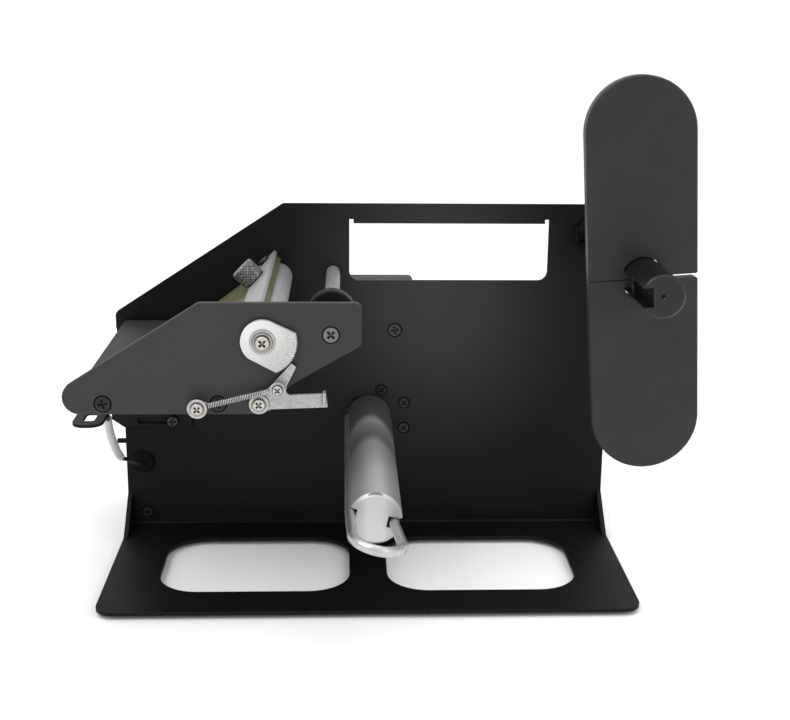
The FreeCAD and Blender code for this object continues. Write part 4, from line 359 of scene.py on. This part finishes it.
def moulded(name, color, roughness, grain=1200.0, specular=0.4):
    """Moulded plastic or rubber with a fine eroded grain and paler edges."""
    n = Nodes(name)
    normal, mask = n.edges(0.4 * MM)
    fine = n.noise(grain, detail=3.0, roughness=0.6)
    clouds = n.noise(45.0, detail=3.0, roughness=0.6)
    tone = n.mix(n.ramp(clouds, 0.0, 1.0, start=0.3, end=0.7), tint(color, 0.85), tint(color))
    pale = tint([c * 1.6 + 0.01 for c in color])
    n.shade(Base_Color=n.mix(n.times(mask, 0.35), tone, pale),
            Roughness=n.ramp(fine, roughness - 0.06, roughness + 0.08, start=0.3, end=0.7),
            Specular_IOR_Level=specular, Normal=n.bump(fine, 0.4, 0.05 * MM, normal))
    return n.material


def cast_blade(name):
    """Cast polyurethane: cloudy and yellow-green, with paler edges that are painted light for light
    passing through them.
    """
    n = Nodes(name)
    normal, mask = n.edges(0.4 * MM)
    clouds = n.noise(55.0, detail=4.0, roughness=0.6)
    tone = n.mix(n.ramp(clouds, 0.0, 1.0, start=0.3, end=0.7), tint((0.105, 0.105, 0.05)),
                 tint((0.17, 0.17, 0.085)))
    # Painted light: the paler edge tone stands for light passing through the edges.
    n.shade(Base_Color=n.mix(n.times(mask, 0.5), tone, tint((0.30, 0.30, 0.17))),
            Roughness=n.ramp(clouds, 0.32, 0.46, start=0.3, end=0.7), Transmission_Weight=0.3, IOR=1.45,
            Normal=n.bump(n.noise(700.0), 0.15, 0.04 * MM, normal))
    return n.material


def circuit_board(name):
    """Green solder mask over copper traces."""
    n = Nodes(name)
    traces = n.noise(260.0, detail=1.0, roughness=0.4, place=n.stretch((1.0, 1.0, 0.3)))
    tone = n.mix(n.ramp(traces, 0.0, 1.0, start=0.5, end=0.53), tint((0.01, 0.10, 0.04)),
                 tint((0.03, 0.19, 0.08)))
    n.shade(Base_Color=tone, Roughness=n.ramp(traces, 0.3, 0.42, start=0.4, end=0.6),
            Normal=n.bump(traces, 0.3, 0.05 * MM))
    return n.material


def black_coats():
    """The coats on sheet metal and turned aluminium, with the nodes that have them."""
    return {
        coated("body_coat", (0.0042, 0.0046, 0.0041), (0.030, 0.031, 0.029), 0.5, specular=0.12,
               sheens=PLATE_SHEENS): ("frame_sheet",),
        coated("sheet_coat", (0.0048, 0.0052, 0.0047), (0.030, 0.031, 0.029), 0.5, specular=0.15):
            ("corner_gussets", "sensor_bracket", "spindle_block"),
        # Painted light: the front plate's coat is lighter than the body coat, standing for the light
        # that falls on it from the front and above.
        coated("lit_front_coat", (0.0225, 0.0228, 0.0215), (0.075, 0.075, 0.072), 0.5): ("front_plate",),
        coated("cover_coat", (0.009, 0.0095, 0.009), (0.03, 0.03, 0.03), 0.52):
            ("rear_cover", "cover_back", "cover_standoffs"),
        coated("table_coat", (0.030, 0.031, 0.029), (0.07, 0.07, 0.07), 0.5, grain=1600.0,
               depth=0.03 * MM, specular=0.12): ("peel_table",),
        coated("flange_coat", (0.020, 0.0202, 0.0185), (0.045, 0.045, 0.045), 0.46, grain=1300.0,
               specular=0.3, cloud=0.6): ("supply_flange",),
        coated("collar_coat", (0.003, 0.003, 0.003), (0.09, 0.09, 0.09), 0.4, specular=0.15):
            ("guide_collar",),
        coated("spindle_coat", (0.006, 0.006, 0.0065), (0.07, 0.07, 0.07), 0.26, grain=1900.0,
               depth=0.03 * MM): ("roll_spindle",),
    }


def bare_metals():
    """Screws, bars, levers and wires, with the nodes that have them."""
    return {
        plated("dark_screw", (0.022, 0.0225, 0.022), metallic=0.7): ("table_screws", "motor_screws"),
        plated("black_screw", (0.042, 0.043, 0.042), metallic=0.7):
            ("collar_screw", "clamp_screws", "bar_end_screw", "sensor_screws", "bracket_screw",
             "spindle_grub_screw", "block_grub_screws", "cover_screws"),
        plated("bright_screw", (0.16, 0.16, 0.155), metallic=0.8, recess_shade=(0.6, 0.97)): ("rod_screws",),
        plated("silver_screw", (0.50, 0.49, 0.445), dark_edges=0.8, recess_shade=(0.55, 0.97)):
            ("cam_screw", "cam_washer", "pivot_washer", "pawl_pivot_screw", "pawl_hook_screw",
             "spring_anchor_screw", "board_screws"),
        plated("spring_wire", (0.62, 0.61, 0.58), dark_edges=0.2, recess_shade=(0.35, 0.8)):
            ("extension_spring",),
        plated("bail_wire", (0.52, 0.52, 0.50), metallic=0.9, recess_shade=(0.1, 0.5)): ("wire_bail",),
        plated("bush_metal", (0.45, 0.34, 0.20), 0.35): ("bar_bushes",),
        plated("motor_skin", (0.45, 0.46, 0.48)): ("gearbox", "motor_can", "potentiometer"),
        brushed("ground_rod", (0.36, 0.36, 0.35), 0.5, (900.0, 60.0, 900.0), 1.0, 0.6, dark=0.45):
            ("guide_rod", "output_shaft", "knob_shaft"),
        brushed("bar_metal", (0.50, 0.51, 0.515), 0.45, (1500.0, 40.0, 1500.0), 0.5, 0.7):
            ("brake_bar",),
        brushed("clamp_metal", (0.44, 0.45, 0.455), 0.45, (1500.0, 40.0, 1500.0), 0.6, 0.75):
            ("clamp_plate",),
        brushed("cam_metal", (0.52, 0.52, 0.51), 0.5, (500.0, 500.0, 500.0), 1.0, 0.6, dark=0.6,
                sheens=CAM_SHEENS): ("ratchet_cam",),
        brushed("pawl_metal", (0.44, 0.44, 0.43), 0.45, (90.0, 900.0, 1600.0), 1.0, 0.8, dark=0.6):
            ("pawl_lever",),
        turned("spindle_metal", (0.55, 0.555, 0.55), 0.42, "waste_spindle", SPINDLE_REFLECTION_BANDS,
               SPINDLE_REFLECTION_BEND): ("waste_spindle",),
        knurled("thumb_metal", (0.29, 0.295, 0.29), 0.4, "thumb_screw", THUMB_TILT, KNURL_PITCH):
            ("thumb_screw",),
    }


def plastics():
    """Plastic, rubber and the board, with the nodes that have them."""
    return {
        moulded("black_plastic", (0.014, 0.014, 0.015), 0.46):
            ("label_sensor", "switch_housing", "switch_rocker", "speed_knob", "dc_jack"),
        moulded("foot_rubber", (0.012, 0.012, 0.012), 0.72, grain=800.0, specular=0.25):
            ("rubber_feet",),
        moulded("grommet_rubber", (0.003, 0.003, 0.003), 0.7, grain=800.0, specular=0.1): ("grommet",),
        moulded("cable_jacket", (0.013, 0.013, 0.013), 0.4, grain=900.0): ("sensor_lead",),
        moulded("marker_tube", (0.60, 0.60, 0.585), 0.45, grain=900.0): ("marker_tube",),
        cast_blade("blade_rubber"): ("brake_blade",),
        circuit_board("board_mask"): ("control_board",),
    }


def dress():
    """Gives every CAD node its material."""
    for groups in (black_coats(), bare_metals(), plastics()):
        for material, names in groups.items():
            for name in names:
                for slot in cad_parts[name].material_slots:
                    slot.material = material


# Floor, world and lamps

def add_floor():
    half = FLOOR_HALF
    mesh = bpy.data.meshes.new("floor")
    mesh.from_pydata([(-half, -half, 0), (half, -half, 0), (half, half, 0), (-half, half, 0)], [],
                     [(0, 1, 2, 3)])
    floor = bpy.data.objects.new("floor", mesh)
    bpy.context.collection.objects.link(floor)
    n = Nodes("floor_white")
    n.shade(Base_Color=n.mix(n.noise(3.0), *(tint((tone, tone, tone)) for tone in FLOOR_TONES)),
            Roughness=0.9, Specular_IOR_Level=0.0)
    mesh.materials.append(n.material)


def add_world():
    world = bpy.data.worlds.new("studio")
    world.use_nodes = True
    background = world.node_tree.nodes["Background"]
    background.inputs["Color"].default_value = tint((1.0, 1.0, 1.0))
    background.inputs["Strength"].default_value = WORLD_LEVEL
    bpy.context.scene.world = world


def add_lamps():
    for name, (place, target, side, power) in LAMPS.items():
        data = bpy.data.lights.new(name, "AREA")
        data.shape = "RECTANGLE"
        data.size, data.size_y, data.energy = side, side, power
        lamp = bpy.data.objects.new(name, data)
        lamp.location = place
        lamp.rotation_euler = (Vector(target) - Vector(place)).to_track_quat("-Z", "Y").to_euler()
        bpy.context.collection.objects.link(lamp)


add_camera()
dress()
add_floor()
add_world()
add_lamps()

bpy.context.scene.view_settings.view_transform = "Standard"
